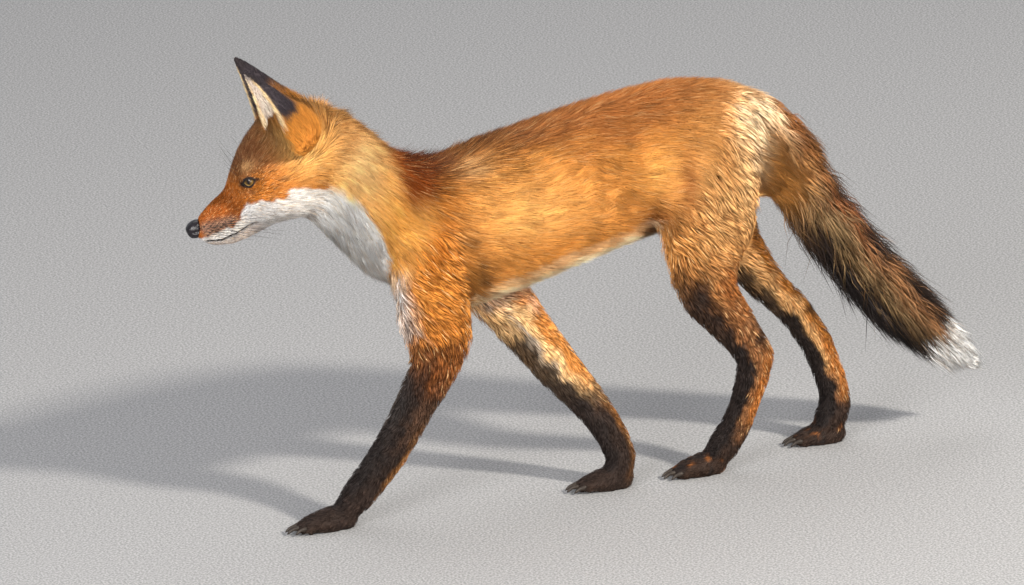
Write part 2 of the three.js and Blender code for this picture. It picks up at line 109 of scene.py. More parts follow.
#    x, y, z, reach, depth, length, width, density
COAT_LINES = {
    "spine": [
        head_row(-2, -6, 9, 0.6, 2.0, 0.55, 1.3),
        head_row(14, -11, 17, 0.9, 3.2, 0.6, 1.3),
        head_row(40, -13, 24, 1.3, 4.6, 0.65, 1.25),
        head_row(66, -11, 33, 1.8, 6.5, 0.75, 1.15),
        head_row(90, -6, 47, 3.2, 10, 0.85, 0.75),
        head_row(118, -2, 55, 5.5, 15, 1.0, 0.5),
        head_row(150, -2, 54, 8.5, 20, 1.1, 0.42),
        (-235, 1, 340, 56, 10, 25, 1.25, 0.36),
        (-190, 0, 304, 66, 10, 27, 1.25, 0.34),
        (-120, 0, 293, 78, 8.5, 26, 1.15, 0.34),
        (-30, 0, 317, 74, 8, 25, 1.1, 0.34),
        (70, 0, 336, 70, 8, 26, 1.1, 0.34),
        (150, 0, 334, 62, 8, 26, 1.1, 0.34),
        (204, 0, 314, 46, 8, 26, 1.2, 0.34),
    ],
    "tail": [
        (182, 0, 365, 28, 10, 30, 1.2, 0.36),
        (204, 0, 338, 34, 16, 38, 1.3, 0.4),
        (232, 0, 288, 42, 23, 50, 1.4, 0.46),
        (266, 2, 229, 44, 26, 56, 1.4, 0.5),
        (310, 3, 170, 39, 24, 54, 1.35, 0.55),
        (350, 4, 125, 30, 19, 46, 1.3, 0.6),
        (384, 5, 91, 21, 14, 36, 1.2, 0.7),
        (405, 5, 73, 11, 8, 22, 1.1, 0.8),
    ],
    "foreleg_left": [
        (-166, -36, 300, 30, 8, 24, 1.15, 0.34),
        (-177, -40, 250, 36, 7, 20, 1.1, 0.36),
        (-170, -40, 195, 32, 5, 16, 1.1, 0.42),
        (-188, -33, 136, 21, 3.2, 11, 0.95, 0.6),
        (-223, -23, 75, 18, 2.6, 8.5, 0.85, 0.75),
        (-254, -16, 35, 17, 2.2, 7.5, 0.8, 0.8),
        (-276, -14, 16, 16, 1.7, 6, 0.7, 0.8),
        (-320, -13, 7, 9, 1.6, 7, 0.65, 0.9),
    ],
    "foreleg_right": [
        (-126, 35, 300, 30, 8, 24, 1.15, 0.34),
        (-112, 37, 248, 34, 7, 20, 1.1, 0.36),
        (-75, 32, 191, 28, 5, 15, 1.1, 0.42),
        (-30, 20, 125, 22, 3.2, 11, 0.95, 0.6),
        (6, 4, 74, 17, 2.6, 8.5, 0.85, 0.75),
        (22, -8, 34, 16, 2.2, 7.5, 0.8, 0.8),
        (12, -12, 15, 16, 1.7, 6, 0.7, 0.8),
        (-26, -12.5, 7, 9, 1.6, 7, 0.65, 0.9),
    ],
    "hindleg_left": [
        (152, -30, 372, 32, 8, 26, 1.15, 0.34),
        (136, -35, 322, 42, 8, 24, 1.15, 0.34),
        (115, -39, 262, 46, 7, 20, 1.15, 0.36),
        (112, -38, 208, 32, 5, 16, 1.1, 0.42),
        (142, -33, 159, 20, 3.6, 12, 1.0, 0.55),
        (162, -29, 122, 18, 3, 10, 0.9, 0.65),
        (156, -22, 84, 15, 2.5, 8.5, 0.85, 0.75),
        (141, -14, 42, 15, 2.2, 7.5, 0.8, 0.8),
        (116, -11, 15, 15, 1.7, 6, 0.7, 0.8),
        (76, -10.5, 7, 9, 1.6, 7, 0.65, 0.9),
    ],
    "hindleg_right": [
        (154, 30, 372, 32, 8, 26, 1.15, 0.34),
        (150, 35, 322, 40, 8, 24, 1.15, 0.34),
        (156, 39, 252, 38, 7, 20, 1.15, 0.36),
        (182, 39, 200, 26, 5, 15, 1.1, 0.42),
        (224, 38, 150, 19, 3.6, 12, 1.0, 0.55),
        (250, 37, 106, 17, 3, 10, 0.9, 0.65),
        (264, 35, 62, 15, 2.5, 8.5, 0.85, 0.75),
        (265, 34, 30, 16, 2.2, 7.5, 0.8, 0.8),
        (252, 33.5, 14, 15, 1.7, 6, 0.7, 0.8),
        (218, 34, 7, 9, 1.6, 7, 0.65, 0.9),
    ],
}
SPINE, TAIL, FORELEG_LEFT, FORELEG_RIGHT, HINDLEG_LEFT, HINDLEG_RIGHT = range(len(COAT_LINES))
starts, ends, line_of, run_before = [], [], [], []
for number, rows in enumerate(COAT_LINES.values()):
    run = 0.0
    for row, after in zip(rows, rows[1:]):
        starts.append(row)
        ends.append(after)
        line_of.append(number)
        run_before.append(run)
        run += math.dist(row[:3], after[:3])
starts, ends, line_of, run_before = map(np.array, (starts, ends, line_of, run_before))
stretch = ends[:, :3] - starts[:, :3]
stretch_length = np.linalg.norm(stretch, axis=1)
heading = stretch / stretch_length[:, None]


def unit(vectors):
    return vectors / np.maximum(np.linalg.norm(vectors, axis=-1, keepdims=True), 1e-9)


class Plan:
    """What the lines say at each of many points: a smooth blend of the stretches that pass near."""
    batch = 12000
    softness = 0.03
    sharpness = 4.5

    def __init__(self, points):
        batches = np.array_split(points, max(1, len(points) // self.batch))
        values, self.heading, self.share, self.line, self.run, centre = (
            np.concatenate(column) for column in zip(*map(self.read, batches)))
        self.depth, self.length, self.width, self.density = values[:, 1:].T
        self.from_line = points - centre

    def read(self, points):
        offset = points[:, None, :] - starts[None, :, :3]
        along = np.clip((offset * stretch).sum(-1) / stretch_length**2, 0, 1)
        centre = starts[None, :, :3] + along[..., None] * stretch
        values = starts[None, :, 3:] + along[..., None] * (ends - starts)[None, :, 3:]
        nearness = np.linalg.norm(points[:, None, :] - centre, axis=-1) / values[..., 0]
        weight = (nearness + self.softness) ** -self.sharpness
        weight /= weight.sum(1, keepdims=True)
        best = nearness.argmin(1)
        rows = np.arange(len(points))
        share = np.stack([weight[:, line_of == n].sum(1) for n in range(len(COAT_LINES))], axis=1)
        return ((weight[..., None] * values).sum(1), unit(weight @ heading), share, line_of[best],
                run_before[best] + along[rows, best] * stretch_length[best], centre[rows, best])


# ---- Markings ------------------------------------------------------------------------------------
# The colours of the coat, as linear red, green and blue. They are worked out for any point on the
# body, once for the skin and once for each lock, so that both carry the same markings.
GOLD = (0.62, 0.245, 0.040)
BRIGHT_GOLD = (0.86, 0.43, 0.11)
STRAW = (0.93, 0.60, 0.28)
AMBER = (0.54, 0.165, 0.012)
RUST = (0.38, 0.125, 0.026)
RUSSET = (0.38, 0.135, 0.036)
MAROON = (0.22, 0.055, 0.010)
UMBER = (0.13, 0.048, 0.016)
TAN = (0.64, 0.36, 0.14)
CREAM = (0.96, 0.74, 0.48)
WHITE = (0.92, 0.90, 0.87)
SMOKE = (0.36, 0.32, 0.29)
SLATE = (0.048, 0.038, 0.044)
SOOT = (0.020, 0.015, 0.014)
TAWNY = (0.29, 0.175, 0.085)
OLIVE = (0.17, 0.115, 0.05)
BLACKENED_GOLD = (0.26, 0.060, 0.008)

# the crease of the mouth, as places rearward of the nose's tip and above it
MOUTH = np.array([(6, -17.0), (11.6, -18.6), (21.4, -24.2), (37.6, -26.0), (51.6, -24.8), (66, -25.0)])
FIELD_WAVES = 7  # waves summed in a random field
FIELD_SWING = 3.2  # about how far they swing together


def smooth(values, low, high):
    t = np.clip((values - low) / (high - low), 0, 1)
    return t * t * (3 - 2 * t)


def drift(points, size, seed):
    """A smooth random field between about -1 and 1, whose swells are `size` millimetres across."""
    source = np.random.default_rng(seed)
    total = np.zeros(len(points))
    for _ in range(FIELD_WAVES):
        wave = unit(source.normal(size=3)) * 2 * math.pi / (size * source.uniform(0.8, 1.9))
        total += np.sin(points @ wave + source.uniform(0, 2 * math.pi))
    return total / FIELD_SWING


def spot(across, along, centre, size):
    """A soft round or oval patch on the side of the body."""
    return np.exp(-(((across - centre[0]) / size[0]) ** 2 + ((along - centre[1]) / size[1]) ** 2))


class Paint:
    """Colours on many points, laid over one another through masks."""

    def __init__(self, count, base):
        self.colour = np.tile(np.array(base, float), (count, 1))

    def over(self, colour, mask):
        self.colour += (np.array(colour) - self.colour) * np.clip(mask, 0, 1)[:, None]

    def spots(self, across, along, *rows):
        """Soft patches, each a colour, a middle, a size and a strength."""
        for colour, centre, size, strength in rows:
            self.over(colour, spot(across, along, centre, size) * strength)


def paint_head(p):
    """The mask of the face, the crown and the throat under them."""
    offset = p - NOSE_TIP
    back, aside, above = offset @ HEAD_BACK, np.abs(offset @ HEAD_RIGHT), offset @ HEAD_UP
    ragged = drift(p, 9, 5) * 1.8
    paint = Paint(len(p), (0.44, 0.15, 0.020))
    paint.over((0.31, 0.085, 0.012), 1 - smooth(back, 50, 84))
    # the grizzled brow and crown, dark over the eyes and in front of the ears
    paint.over((0.16, 0.072, 0.036), smooth(above, 12, 30) * (1 - smooth(back, 122, 142)) * 0.85)
    paint.over((0.60, 0.34, 0.14), spot(back, above, (84, 27), (12, 4)) * smooth(aside, 12, 20) * 0.8)
    paint.spots(back, above, (UMBER, (72, 22), (9, 8), 0.5), ((0.32, 0.11, 0.035), (110, 26), (15, 15), 0.7))
    paint.over(UMBER, spot(back, above, (113, 3), (16, 4.5)) * smooth(drift(p, 7, 8), -0.5, 0.5) * 0.75)
    paint.spots(back, above,
                (UMBER, (127, 38), (8, 9), 0.6),
                ((0.95, 0.57, 0.19), (144, 16), (24, 30), 1.0),
                ((0.70, 0.24, 0.025), (148, 46), (14, 12), 0.9))
    # white of the lip, cheek and throat, which climbs behind the corner of the mouth; painted shade greys it
    # low under the jaw and in streaks between its locks
    edge = np.interp(back, (0, 12, 38, 50, 56, 66, 79, 91, 99, 107, 113, 128, 142, 152),
                     (-11, -13, -17, -14, -8, -4, -5, -10, -14, -9, -10, -21, -33, -50))
    white = smooth(edge + ragged - above, -1.2, 2.2)
    paint.over((0.66, 0.64, 0.62), white)
    # painted shade: grey low on the throat, and grey streaks between the white locks
    paint.over(SMOKE, white * smooth(-above, 36, 50) * smooth(back, 76, 98) * 0.55)
    paint.over(SMOKE, white * smooth(drift(p, 8, 12), 0.3, 0.9) * smooth(back, 60, 90) * 0.6)
    # the grey bed of the whiskers with its rows of dark dots
    bed = smooth(above, -19, -12) * (1 - smooth(above, -6 + (back - 20) * -0.25, 4 + (back - 20) * -0.3))
    bed *= smooth(back, 7, 14) * (1 - smooth(back, 42, 54)) * smooth(aside, 5, 10)
    paint.over((0.17, 0.115, 0.09), bed * 0.8)
    rows = np.cos((above + back * 0.42) * 2 * math.pi / 4.6)
    dots = rows * np.cos((back - above * 0.2) * 2 * math.pi / 6.2)
    paint.over(SOOT, smooth(dots, 0.35, 0.75) * bed)
    # dark lips along the mouth, and the grey chin under them
    lip = np.interp(back, MOUTH[:, 0], MOUTH[:, 1])
    paint.over((0.42, 0.35, 0.31), smooth(lip - above, 0.5, 3) * (1 - smooth(back, 52, 74)) * 0.8)
    dark = np.exp(-(((above - lip + 0.3) / 1.3) ** 2)) * smooth(back, 4, 10) * (1 - smooth(back, 60, 67))
    paint.over(SOOT, dark * 1.2)
    # the black corner in front of the eye, the lids and the line behind them
    for eye in EYES:
        rear, up, out = eye.look(p)
        seen = smooth(out, -14, -8)
        paint.over(SOOT, spot(rear, up, (-8.9, -2.6), (4.4, 3.3)) * 1.4 * seen)
        lined = smooth(eye.parted(p) + 0.8 * (up > 0), -2.3, -1.2)
        paint.over(SOOT, lined * (np.hypot(rear, up) < 11) * seen)
        for middle, size in (((12, -0.8), (6, 1.8)), ((-3, -11.5), (8, 3.4))):
            paint.over(UMBER, spot(rear, up, middle, size) * 0.75 * seen)
    return paint.colour


def paint_neck(p, n):
    """Gold above, darkening to the withers, and white down the throat, greyed low down with painted shade."""
    x, _, z = p.T
    paint = Paint(len(p), BRIGHT_GOLD)
    paint.spots(x, z,
                ((0.96, 0.61, 0.27), (-240, 386), (30, 44), 0.95),
                (AMBER, (-280, 428), (10, 16), 0.7),
                ((0.90, 0.42, 0.085), (-204, 322), (16, 30), 0.9))
    paint.over(RUSSET, smooth(n[:, 2], 0.5, 0.95) * smooth(x, -262, -228) * 0.75)
    paint.over(BLACKENED_GOLD, smooth(x + (z - 350) * 0.2, -213, -192) * smooth(z, 318, 346))
    edge = np.interp(x, (-310, -281, -263, -245, -237, -219, -211, -200),
                     (368, 365, 360, 349, 338, 303, 272, 228)) + drift(p, 14, 9) * 4
    paint.over(WHITE, smooth(edge - z, -3, 7))
    # painted shade: greyer low under the neck
    low = np.interp(x, (-309, -259, -220, -201), (334, 300, 262, 226))
    paint.over((0.46, 0.40, 0.34), smooth(low + drift(p, 9, 3) * 12 - z, -14, 10) * 0.65)
    return paint.colour


def paint_body(p, n):
    """The trunk, the shoulders and the thighs."""
    x, _, z = p.T
    uneven = drift(p, 26, 21)
    paint = Paint(len(p), (0.68, 0.29, 0.065))
    paint.spots(x, z,
                (AMBER, (-172, 300), (32, 62), 0.95),
                (GOLD, (-172, 238), (30, 34), 0.8),
                ((0.88, 0.46, 0.14), (-78, 312), (58, 32), 0.95),
                (GOLD, (-40, 268), (60, 14), 0.6),
                (BRIGHT_GOLD, (64, 330), (24, 26), 0.9))
    # the darker saddle of the back, with the darkest band over the withers
    ridge = np.interp(x, (-160, -98, -36, 48, 110, 150), (348, 360, 362, 366, 382, 398))
    paint.over(RUSSET, smooth(z + uneven * 7 - ridge, -16, 20) * 0.92)
    paint.over((0.26, 0.055, 0.006), spot(x, z, (-178, 366), (30, 28)) * 1.1)
    paint.over(UMBER, smooth(n[:, 2], 0.6, 0.98) * (1 - smooth(x, -120, 40)) * 0.5)
    beside = 1 - smooth(n[:, 2], 0.55, 0.9)
    paint.over(STRAW, spot(x, z, (-128, 357), (18, 10)) * 0.8 * beside)
    # painted shade in the fold behind the elbow, then the haunch and the thigh, with painted shade down the
    # crease before the thigh and in the fold where it meets the belly
    paint.spots(x, z,
                # painted shade in the fold behind the elbow
                (UMBER, (-136, 292), (7, 9), 0.75),
                (UMBER, (-127, 268), (7, 9), 0.75),
                (UMBER, (-122, 250), (7, 9), 0.75),
                (TAN, (128, 292), (42, 72), 0.9),
                ((0.44, 0.20, 0.055), (116, 368), (26, 26), 0.75),
                # painted shade down the crease before the thigh, and over dark rust in the fold where it
                # meets the belly
                (MAROON, (92, 318), (8, 30), 0.75),
                ((0.20, 0.060, 0.010), (62, 284), (25, 22), 1.0),
                (STRAW, (158, 322), (13, 62), 0.85),
                (CREAM, (178, 376), (27, 23), 0.55 + 0.6 * beside),
                (CREAM, (172, 342), (10, 30), 0.7))
    # pale under the belly, white and grey down the chest
    under = smooth(-n[:, 2], 0.35, 0.75) * (1 - smooth(x, 60, 110))
    paint.over(CREAM, under * 0.9)
    chest = smooth(-n[:, 0], 0.3, 0.7) * (1 - smooth(x, -206, -190)) * (1 - smooth(z, 330, 350))
    paint.over(WHITE, chest)
    paint.over(SMOKE, chest * (0.45 + 0.35 * drift(p, 14, 31)))
    return paint.colour


TAIL_COURSE = unit(np.array((0.64, 0.0, -0.77)))
TAIL_TOP_SIDE = unit(np.array((0.77, 0.0, 0.64)))
WHITE_TIP_AT = np.array((366.0, 5.0, 118.0))


def paint_tail(p, plan):
    """Tawny along the brush, sooty above and below, and white at the tip."""
    high = (unit(plan.from_line) @ TAIL_TOP_SIDE) + drift(p, 30, 41) * 0.14
    along = plan.run / 400
    paint = Paint(len(p), TAWNY)
    paint.over((0.34, 0.155, 0.062), smooth(high, 0.05, 0.5) * smooth(along, 0.25, 0.5) * 0.8)
    paint.over(OLIVE, spot(high, along, (-0.25, 0.4), (0.35, 0.3)) * 0.7)
    paint.over(MAROON, smooth(high, 0.25, 0.7) * (1 - smooth(along, 0.3, 0.5)) * 0.75)
    paint.over(SOOT, smooth(high, 0.74, 0.92) * smooth(along, 0.03, 0.12) * 0.95)
    paint.over(SOOT, smooth(-high, 0.34, 0.72) * smooth(along, 0.16, 0.28))
    paint.over(CREAM, (1 - smooth(along, 0.0, 0.08)) * smooth(high, -0.4, 0.2) * (1 - smooth(high, 0.6, 0.8)))
    paint.spots(high, along,
                ((0.27, 0.16, 0.07), (-0.4, 0.08), (0.6, 0.1), 0.85),
                ((0.17, 0.105, 0.06), (0.2, 0.15), (0.45, 0.07), 0.7))
    tip = (p - WHITE_TIP_AT) @ TAIL_COURSE + drift(p, 14, 44) * 5
    paint.over(SOOT, smooth(tip, -30, -12) * smooth(-high, -0.3, 0.3) * 0.6)
    paint.over(WHITE, smooth(tip, -5, 4))
    return paint.colour


def leg_faces(p, n, plan, side):
    """How far each point faces forward, and towards the other leg."""
    forward = -unit(plan.from_line)[:, 0] + drift(p, 16, 51) * 0.2
    inward = -side * n[:, 1]
    return forward, inward


def paint_foreleg(p, n, plan, side):
    """Gold above, black down the front and the foot, straw on the inside."""
    forward, inward = leg_faces(p, n, plan, side)
    z = p[:, 2] + drift(p, 20, 61) * 8
    paint = Paint(len(p), (0.56, 0.205, 0.034))
    paint.over((0.24, 0.078, 0.020), 1 - smooth(z, 168, 202))
    paint.over((0.085, 0.045, 0.028), 1 - smooth(z, 118, 160))
    paint.over(STRAW, smooth(inward, -0.1, 0.45) * smooth(z, 84, 128))
    behind_inside = smooth(inward, -0.1, 0.4) * smooth(-forward, 0.1, 0.6)
    paint.over((0.72, 0.30, 0.07), behind_inside * smooth(z, 90, 130))
    paint.over((0.80, 0.52, 0.38), smooth(inward, 0.1, 0.6) * smooth(z, 186, 214) * 0.7)
    paint.over(SOOT, smooth(forward, 0.05, 0.55) * (1 - smooth(z, 150, 196)) * 0.95)
    paint.over(SOOT, (1 - smooth(z, 70, 112)) * 0.8)
    paint.over((0.45, 0.18, 0.04), smooth(-forward, 0.4, 0.9) * spot(z, z, (62, 62), (40, 40)) * 0.7)
    grey = spot(forward, z, (0.32, 165), (0.16, 34)) * smooth(inward, 0, 0.4)
    paint.over((0.50, 0.44, 0.38), grey * 0.8)
    fringe = smooth(forward, 0.62, 0.92) * smooth(z, 184, 200) * (1 - smooth(z, 262, 285))
    paint.over(SMOKE, fringe * 0.85)
    return paint.colour


def paint_hindleg(p, n, plan, side):
    """Tan above, black down the front and the foot, rust behind the hock."""
    forward, inward = leg_faces(p, n, plan, side)
    z = p[:, 2] + drift(p, 22, 71) * 8
    paint = Paint(len(p), (0.50, 0.235, 0.08))
    paint.over((0.42, 0.15, 0.038), smooth(-forward, -0.2, 0.5) * (1 - smooth(z, 205, 240)))
    paint.over((0.30, 0.13, 0.05), 1 - smooth(z, 160, 205))
    paint.over(UMBER, smooth(forward, -0.1, 0.5) * smooth(z, 140, 170) * (1 - smooth(z, 236, 268)) * 0.85)
    paint.over((0.80, 0.45, 0.18), smooth(inward, -0.1, 0.5) * smooth(z, 62, 104) * 0.85)
    behind_inside = smooth(inward, -0.2, 0.4) * smooth(-forward, 0.25, 0.75)
    paint.over((0.70, 0.27, 0.05), behind_inside * smooth(z, 70, 100))
    paint.over(SOOT, smooth(forward, 0.0, 0.4) * (1 - smooth(z, 120, 176)) * 0.95)
    paint.over(SOOT, smooth(forward, 0.15, 0.6) * (1 - smooth(z, 190, 232)) * 0.9)
    below_hock = smooth(z, 32, 60) * (1 - smooth(z, 104, 136))
    paint.over((0.48, 0.17, 0.036), smooth(-forward, 0.05, 0.5) * below_hock * 0.9)
    paint.over(SOOT, smooth(-forward, 0.4, 0.8) * spot(z, z, (146, 146), (13, 13)) * 0.8)
    paint.over(SOOT, (1 - smooth(z, 34, 62)) * 0.93)
    paint.over(RUST, spot(z, z, (15, 15), (7, 7)) * smooth(drift(p, 12, 77), 0.45, 0.9) * 0.6)
    return paint.colour


LEG_PAINTS = (  # the leg, its side, who paints it, and the heights between which the body takes over
    (FORELEG_LEFT, -1, paint_foreleg, (200, 250)), (FORELEG_RIGHT, 1, paint_foreleg, (205, 250)),
    (HINDLEG_LEFT, -1, paint_hindleg, (210, 270)), (HINDLEG_RIGHT, 1, paint_hindleg, (200, 262)))


def markings(p, n, plan):
    """The colour at each point, blended where one part of the body passes into the next."""
    spine = plan.share[:, SPINE]
    to_neck = smooth(plan.run, 138, 168)
    to_trunk = smooth(plan.run, 258, 300)
    to_neck, to_trunk = (np.where(plan.line == SPINE, blend, 1.0) for blend in (to_neck, to_trunk))
    body_share = spine * to_trunk
    colour = paint_head(p) * (spine * (1 - to_neck))[:, None]
    colour += paint_neck(p, n) * (spine * to_neck * (1 - to_trunk))[:, None]
    for line, side, paint_leg, joining in LEG_PAINTS:
        share = plan.share[:, line]
        upper = smooth(p[:, 2], *joining)
        colour += paint_leg(p, n, plan, side) * (share * (1 - upper))[:, None]
        body_share = body_share + share * upper
    colour += paint_body(p, n) * body_share[:, None]
    colour += paint_tail(p, plan) * plan.share[:, TAIL][:, None]
    return np.clip(colour * (1 + 0.10 * drift(p, 7, 81))[:, None], 0.004, 0.95)


# ---- Eyes ----------------------------------------------------------------------------------------
# Two balls set deep in the sides of the face and turned a little forward. The cornea stands proud of
# each, over an amber iris with an upright pupil. The skin's lids close round them.
class Eye:
    """One eyeball, the way it looks, and the slit that the lids leave open over it."""
    radius = 8.6
    cornea = 0.075  # how far the cornea stands proud, as a share of the radius
    lid_radius = 9.35
    half_slit = 6.6
    slant = 0.4
    upper_rise, upper_bow = 2.7, 0.9
    lower_drop, lower_bow = 4.0, 1.1

    def __init__(self, name, side):
        self.name = name
        low, high = (plan_mm(corner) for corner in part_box(name))
        self.centre = (low + high) / 2
        out = side * 0.90 * HEAD_RIGHT - 0.36 * HEAD_BACK + 0.20 * HEAD_UP
        self.out = unit(out)
        rear = 0.956 * HEAD_BACK - 0.292 * HEAD_UP
        self.rear = unit(rear - (rear @ self.out) * self.out)
        up = np.cross(self.out, self.rear)
        self.up = up if up @ HEAD_UP > 0 else -up

    def look(self, points):
        """Places seen from straight in front of the eye: rearward, up and out from its middle."""
        offset = points - self.centre
        return offset @ self.rear, offset @ self.up, offset @ self.out

    def open(self, rear, up):
        """How far inside the slit between the lids a place is; negative outside it."""
        bow = np.clip(1 - (rear / self.half_slit) ** 2, 0, 1)
        upper = self.upper_rise * bow**self.upper_bow + self.slant * rear / self.half_slit
        lower = -self.lower_drop * bow**self.lower_bow + self.slant * rear / self.half_slit
        beyond = np.maximum(np.abs(rear) - self.half_slit, 0)
        return np.minimum(upper - up, up - lower) - beyond

    def parted(self, points):
        """The same for places taken straight out from the ball's middle to the lids."""
        rear, up, _ = self.look(points)
        share = self.lid_radius / np.linalg.norm(points - self.centre, axis=-1)
        return self.open(rear * share, up * share)


EYES = [Eye("eye_left", -1), Eye("eye_right", 1)]


class Socket:
    """A shader socket that can be used in Python sums; each sum adds its Math node."""

    def __init__(self, tree, socket):
        self.tree, self.socket = tree, socket

    def maths(self, operation, other=None, swapped=False):
        node = self.tree.nodes.new("ShaderNodeMath")
        node.operation = operation
        values = (self, other)[::-1] if swapped else (self, other)
        for slot, value in zip(node.inputs, values):
            if isinstance(value, Socket):
                self.tree.links.new(value.socket, slot)
            elif value is not None:
                slot.default_value = value
        return Socket(self.tree, node.outputs[0])

    def __add__(self, other):
        return self.maths("ADD", other)

    def __radd__(self, other):
        return self.maths("ADD", other)

    def __mul__(self, other):
        return self.maths("MULTIPLY", other)

    def __rmul__(self, other):
        return self.maths("MULTIPLY", other)

    def __sub__(self, other):
        return self.maths("SUBTRACT", other)

    def __rsub__(self, other):
        return self.maths("SUBTRACT", other, swapped=True)

    def __truediv__(self, other):
        return self.maths("DIVIDE", other)

    def __pow__(self, other):
        return self.maths("POWER", other)


class Finish:
    """A material whose nodes are added one call at a time."""

    def __init__(self, name, **constants):
        self.material = bpy.data.materials.new(name)
        self.material.use_nodes = True
        self.tree = self.material.node_tree
        self.shader = self.tree.nodes["Principled BSDF"]
        for socket, value in constants.items():
            self.shader.inputs[socket.replace("_", " ")].default_value = value

    def node(self, kind, settings=None, output=0, **values):
        """Adds a node: its settings, the output wanted, and its inputs by name or as i0, i1 and so on."""
        made = self.tree.nodes.new("ShaderNode" + kind)
        for key, value in (settings or {}).items():
            if key == "stops":
                first, *others, last = value
                elements = made.color_ramp.elements
                elements[0].color, elements[1].color = (*first[1], 1), (*last[1], 1)
                for where, colour in others:
                    elements.new(where).color = (*colour, 1)
            else:
                setattr(made, key, value)
        for key, value in values.items():
            slot = made.inputs[int(key[1:])] if key[0] == "i" and key[1:].isdigit() else made.inputs[key]
            self.feed(slot, value)
        return Socket(self.tree, made.outputs[output])

    def feed(self, slot, value):
        if isinstance(value, Socket):
            self.tree.links.new(value.socket, slot)
        else:
            slot.default_value = value

    def set(self, socket, value):
        self.feed(self.shader.inputs[socket], value)

    def mix(self, factor, first, second):
        return self.node("Mix", {"data_type": "RGBA"}, output=2, i0=factor, i6=first, i7=second)


def piece_from(name, mesh, finish, replaced=()):
    """Puts a finished mesh in the scene as a piece that rides on the fox's one body."""
    made = bpy.data.objects.new(name, mesh)
    bpy.context.scene.collection.objects.link(made)
    made.data.materials.append(finish.material)
    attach(made, "root")
    if replaced:
        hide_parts(*replaced)
    return made


eye_finish = Finish("wet_eye", Roughness=0.04, IOR=1.36)
front = eye_finish.node("UVMap", {"uv_map": "EyeFace"})
sideways, upwards = (eye_finish.node("SeparateXYZ", output=axis, i0=front) - 0.5 for axis in (0, 1))
from_middle = (sideways * sideways + upwards * upwards) ** 0.5
pupil_shape = (sideways * sideways * 5.0 + upwards * upwards * 1.1) ** 0.5
fibres = eye_finish.node("TexNoise", {"noise_dimensions": "2D"}, Vector=front, Scale=34.0, Detail=4.0)
IRIS_REACH = 0.34
IRIS_STOPS = [
    (0.0, (0.020, 0.008, 0.002)), (0.4, (0.050, 0.024, 0.004)), (0.70, (0.13, 0.072, 0.013)),
    (0.84, (0.03, 0.015, 0.005)), (1.0, (0.003, 0.002, 0.002))]
iris = eye_finish.node("ValToRGB", {"stops": IRIS_STOPS},
                       Fac=from_middle / IRIS_REACH + (fibres - 0.5) * 0.14)
# a painted pool of light on the iris low on its front, and painted shade of the upper lid over its top
painted_iris_light = eye_finish.node("MapRange", {"interpolation_type": "SMOOTHSTEP"},
                             i0=(sideways * -0.55) - (upwards * 0.83), i1=0.10, i2=0.24)
iris = eye_finish.mix(painted_iris_light * 0.65, iris, (0.42, 0.27, 0.09, 1))
painted_lid_shade = eye_finish.node("MapRange", {"interpolation_type": "SMOOTHSTEP"}, i0=upwards, i1=0.0, i2=0.13)
iris = eye_finish.mix(painted_lid_shade * 0.8, iris, (0.012, 0.008, 0.005, 1))
pupil = eye_finish.node("MapRange", {"interpolation_type": "SMOOTHSTEP"}, i0=pupil_shape, i1=0.13, i2=0.17,
                        i3=1.0, i4=0.0)
eye_finish.set("Base Color", eye_finish.mix(pupil, iris, (0.004, 0.004, 0.005, 1)))

FRONT_SPAN = 17  # millimetres across the eye that its map holds
for eye in EYES:
    bm = bmesh.new()
    bmesh.ops.create_uvsphere(bm, u_segments=40, v_segments=28, radius=eye.radius)
    facing = Vector((0, 0, 1)).rotation_difference(Vector(eye.out)).to_matrix()
    for vertex in bm.verts:
        tilt = vertex.co.normalized().z
        vertex.co *= 1 + eye.cornea * float(smooth(np.array(tilt), 0.80, 1.0))
    face_map = bm.loops.layers.uv.new("EyeFace")
    for polygon in bm.faces:
        polygon.smooth = True
        for loop in polygon.loops:
            turned = facing @ loop.vert.co
            rear, up = turned.dot(Vector(eye.rear)), turned.dot(Vector(eye.up))
            at_front = loop.vert.co.z > 0
            loop[face_map].uv = (0.5 + rear / FRONT_SPAN, 0.5 + up / FRONT_SPAN) if at_front else (1.0, 1.0)
    bmesh.ops.transform(bm, matrix=Matrix.Scale(MM, 4) @ facing.to_4x4(), verts=bm.verts)
    bmesh.ops.translate(bm, vec=Vector(metres(eye.centre)), verts=bm.verts)
    eye_mesh = bpy.data.meshes.new(eye.name + "_ball")
    bm.to_mesh(eye_mesh)
    piece_from(eye.name + "_ball", eye_mesh, eye_finish, [eye.name])


# ---- Skin ----------------------------------------------------------------------------------------
# One hide over the whole body. It starts from the solids of flesh, closed over their joints and
# smoothed, and lies inside them by the depth of the coat. Lids, mouth and sockets are pressed into it.
FLESH = ["head", "lower_jaw", "neck", "trunk", "tail_root", "tail_middle", "tail_end", "tail_tip"]
FILLED = ["eye_left", "eye_right"]  # their sockets are closed here, and the lids opened again below
for side in ("left", "right"):
    FLESH += [f"{part}_{side}" for part in (
        "upper_foreleg", "forearm", "forepaw", "thigh", "shank", "metatarsus", "hindpaw")]
FLESH_SWELL = 0.45  # the solids grow by this much, so that their joints close
SKIN_GRAIN = 2.95  # size of the hide's faces
SOLE_FLAT = 1.3  # what lies lower than this stays on the floor
FLOOR_CLEAR = 0.3  # what doesn't stand on the floor stays this far over it
MERGE = 1e-6  # metres within which corners of a solid are one
SKIN_SHADE = 0.6  # the skin is darker than the fur over it: partly the underfur's own tone, partly painted shade in the gaps between the locks
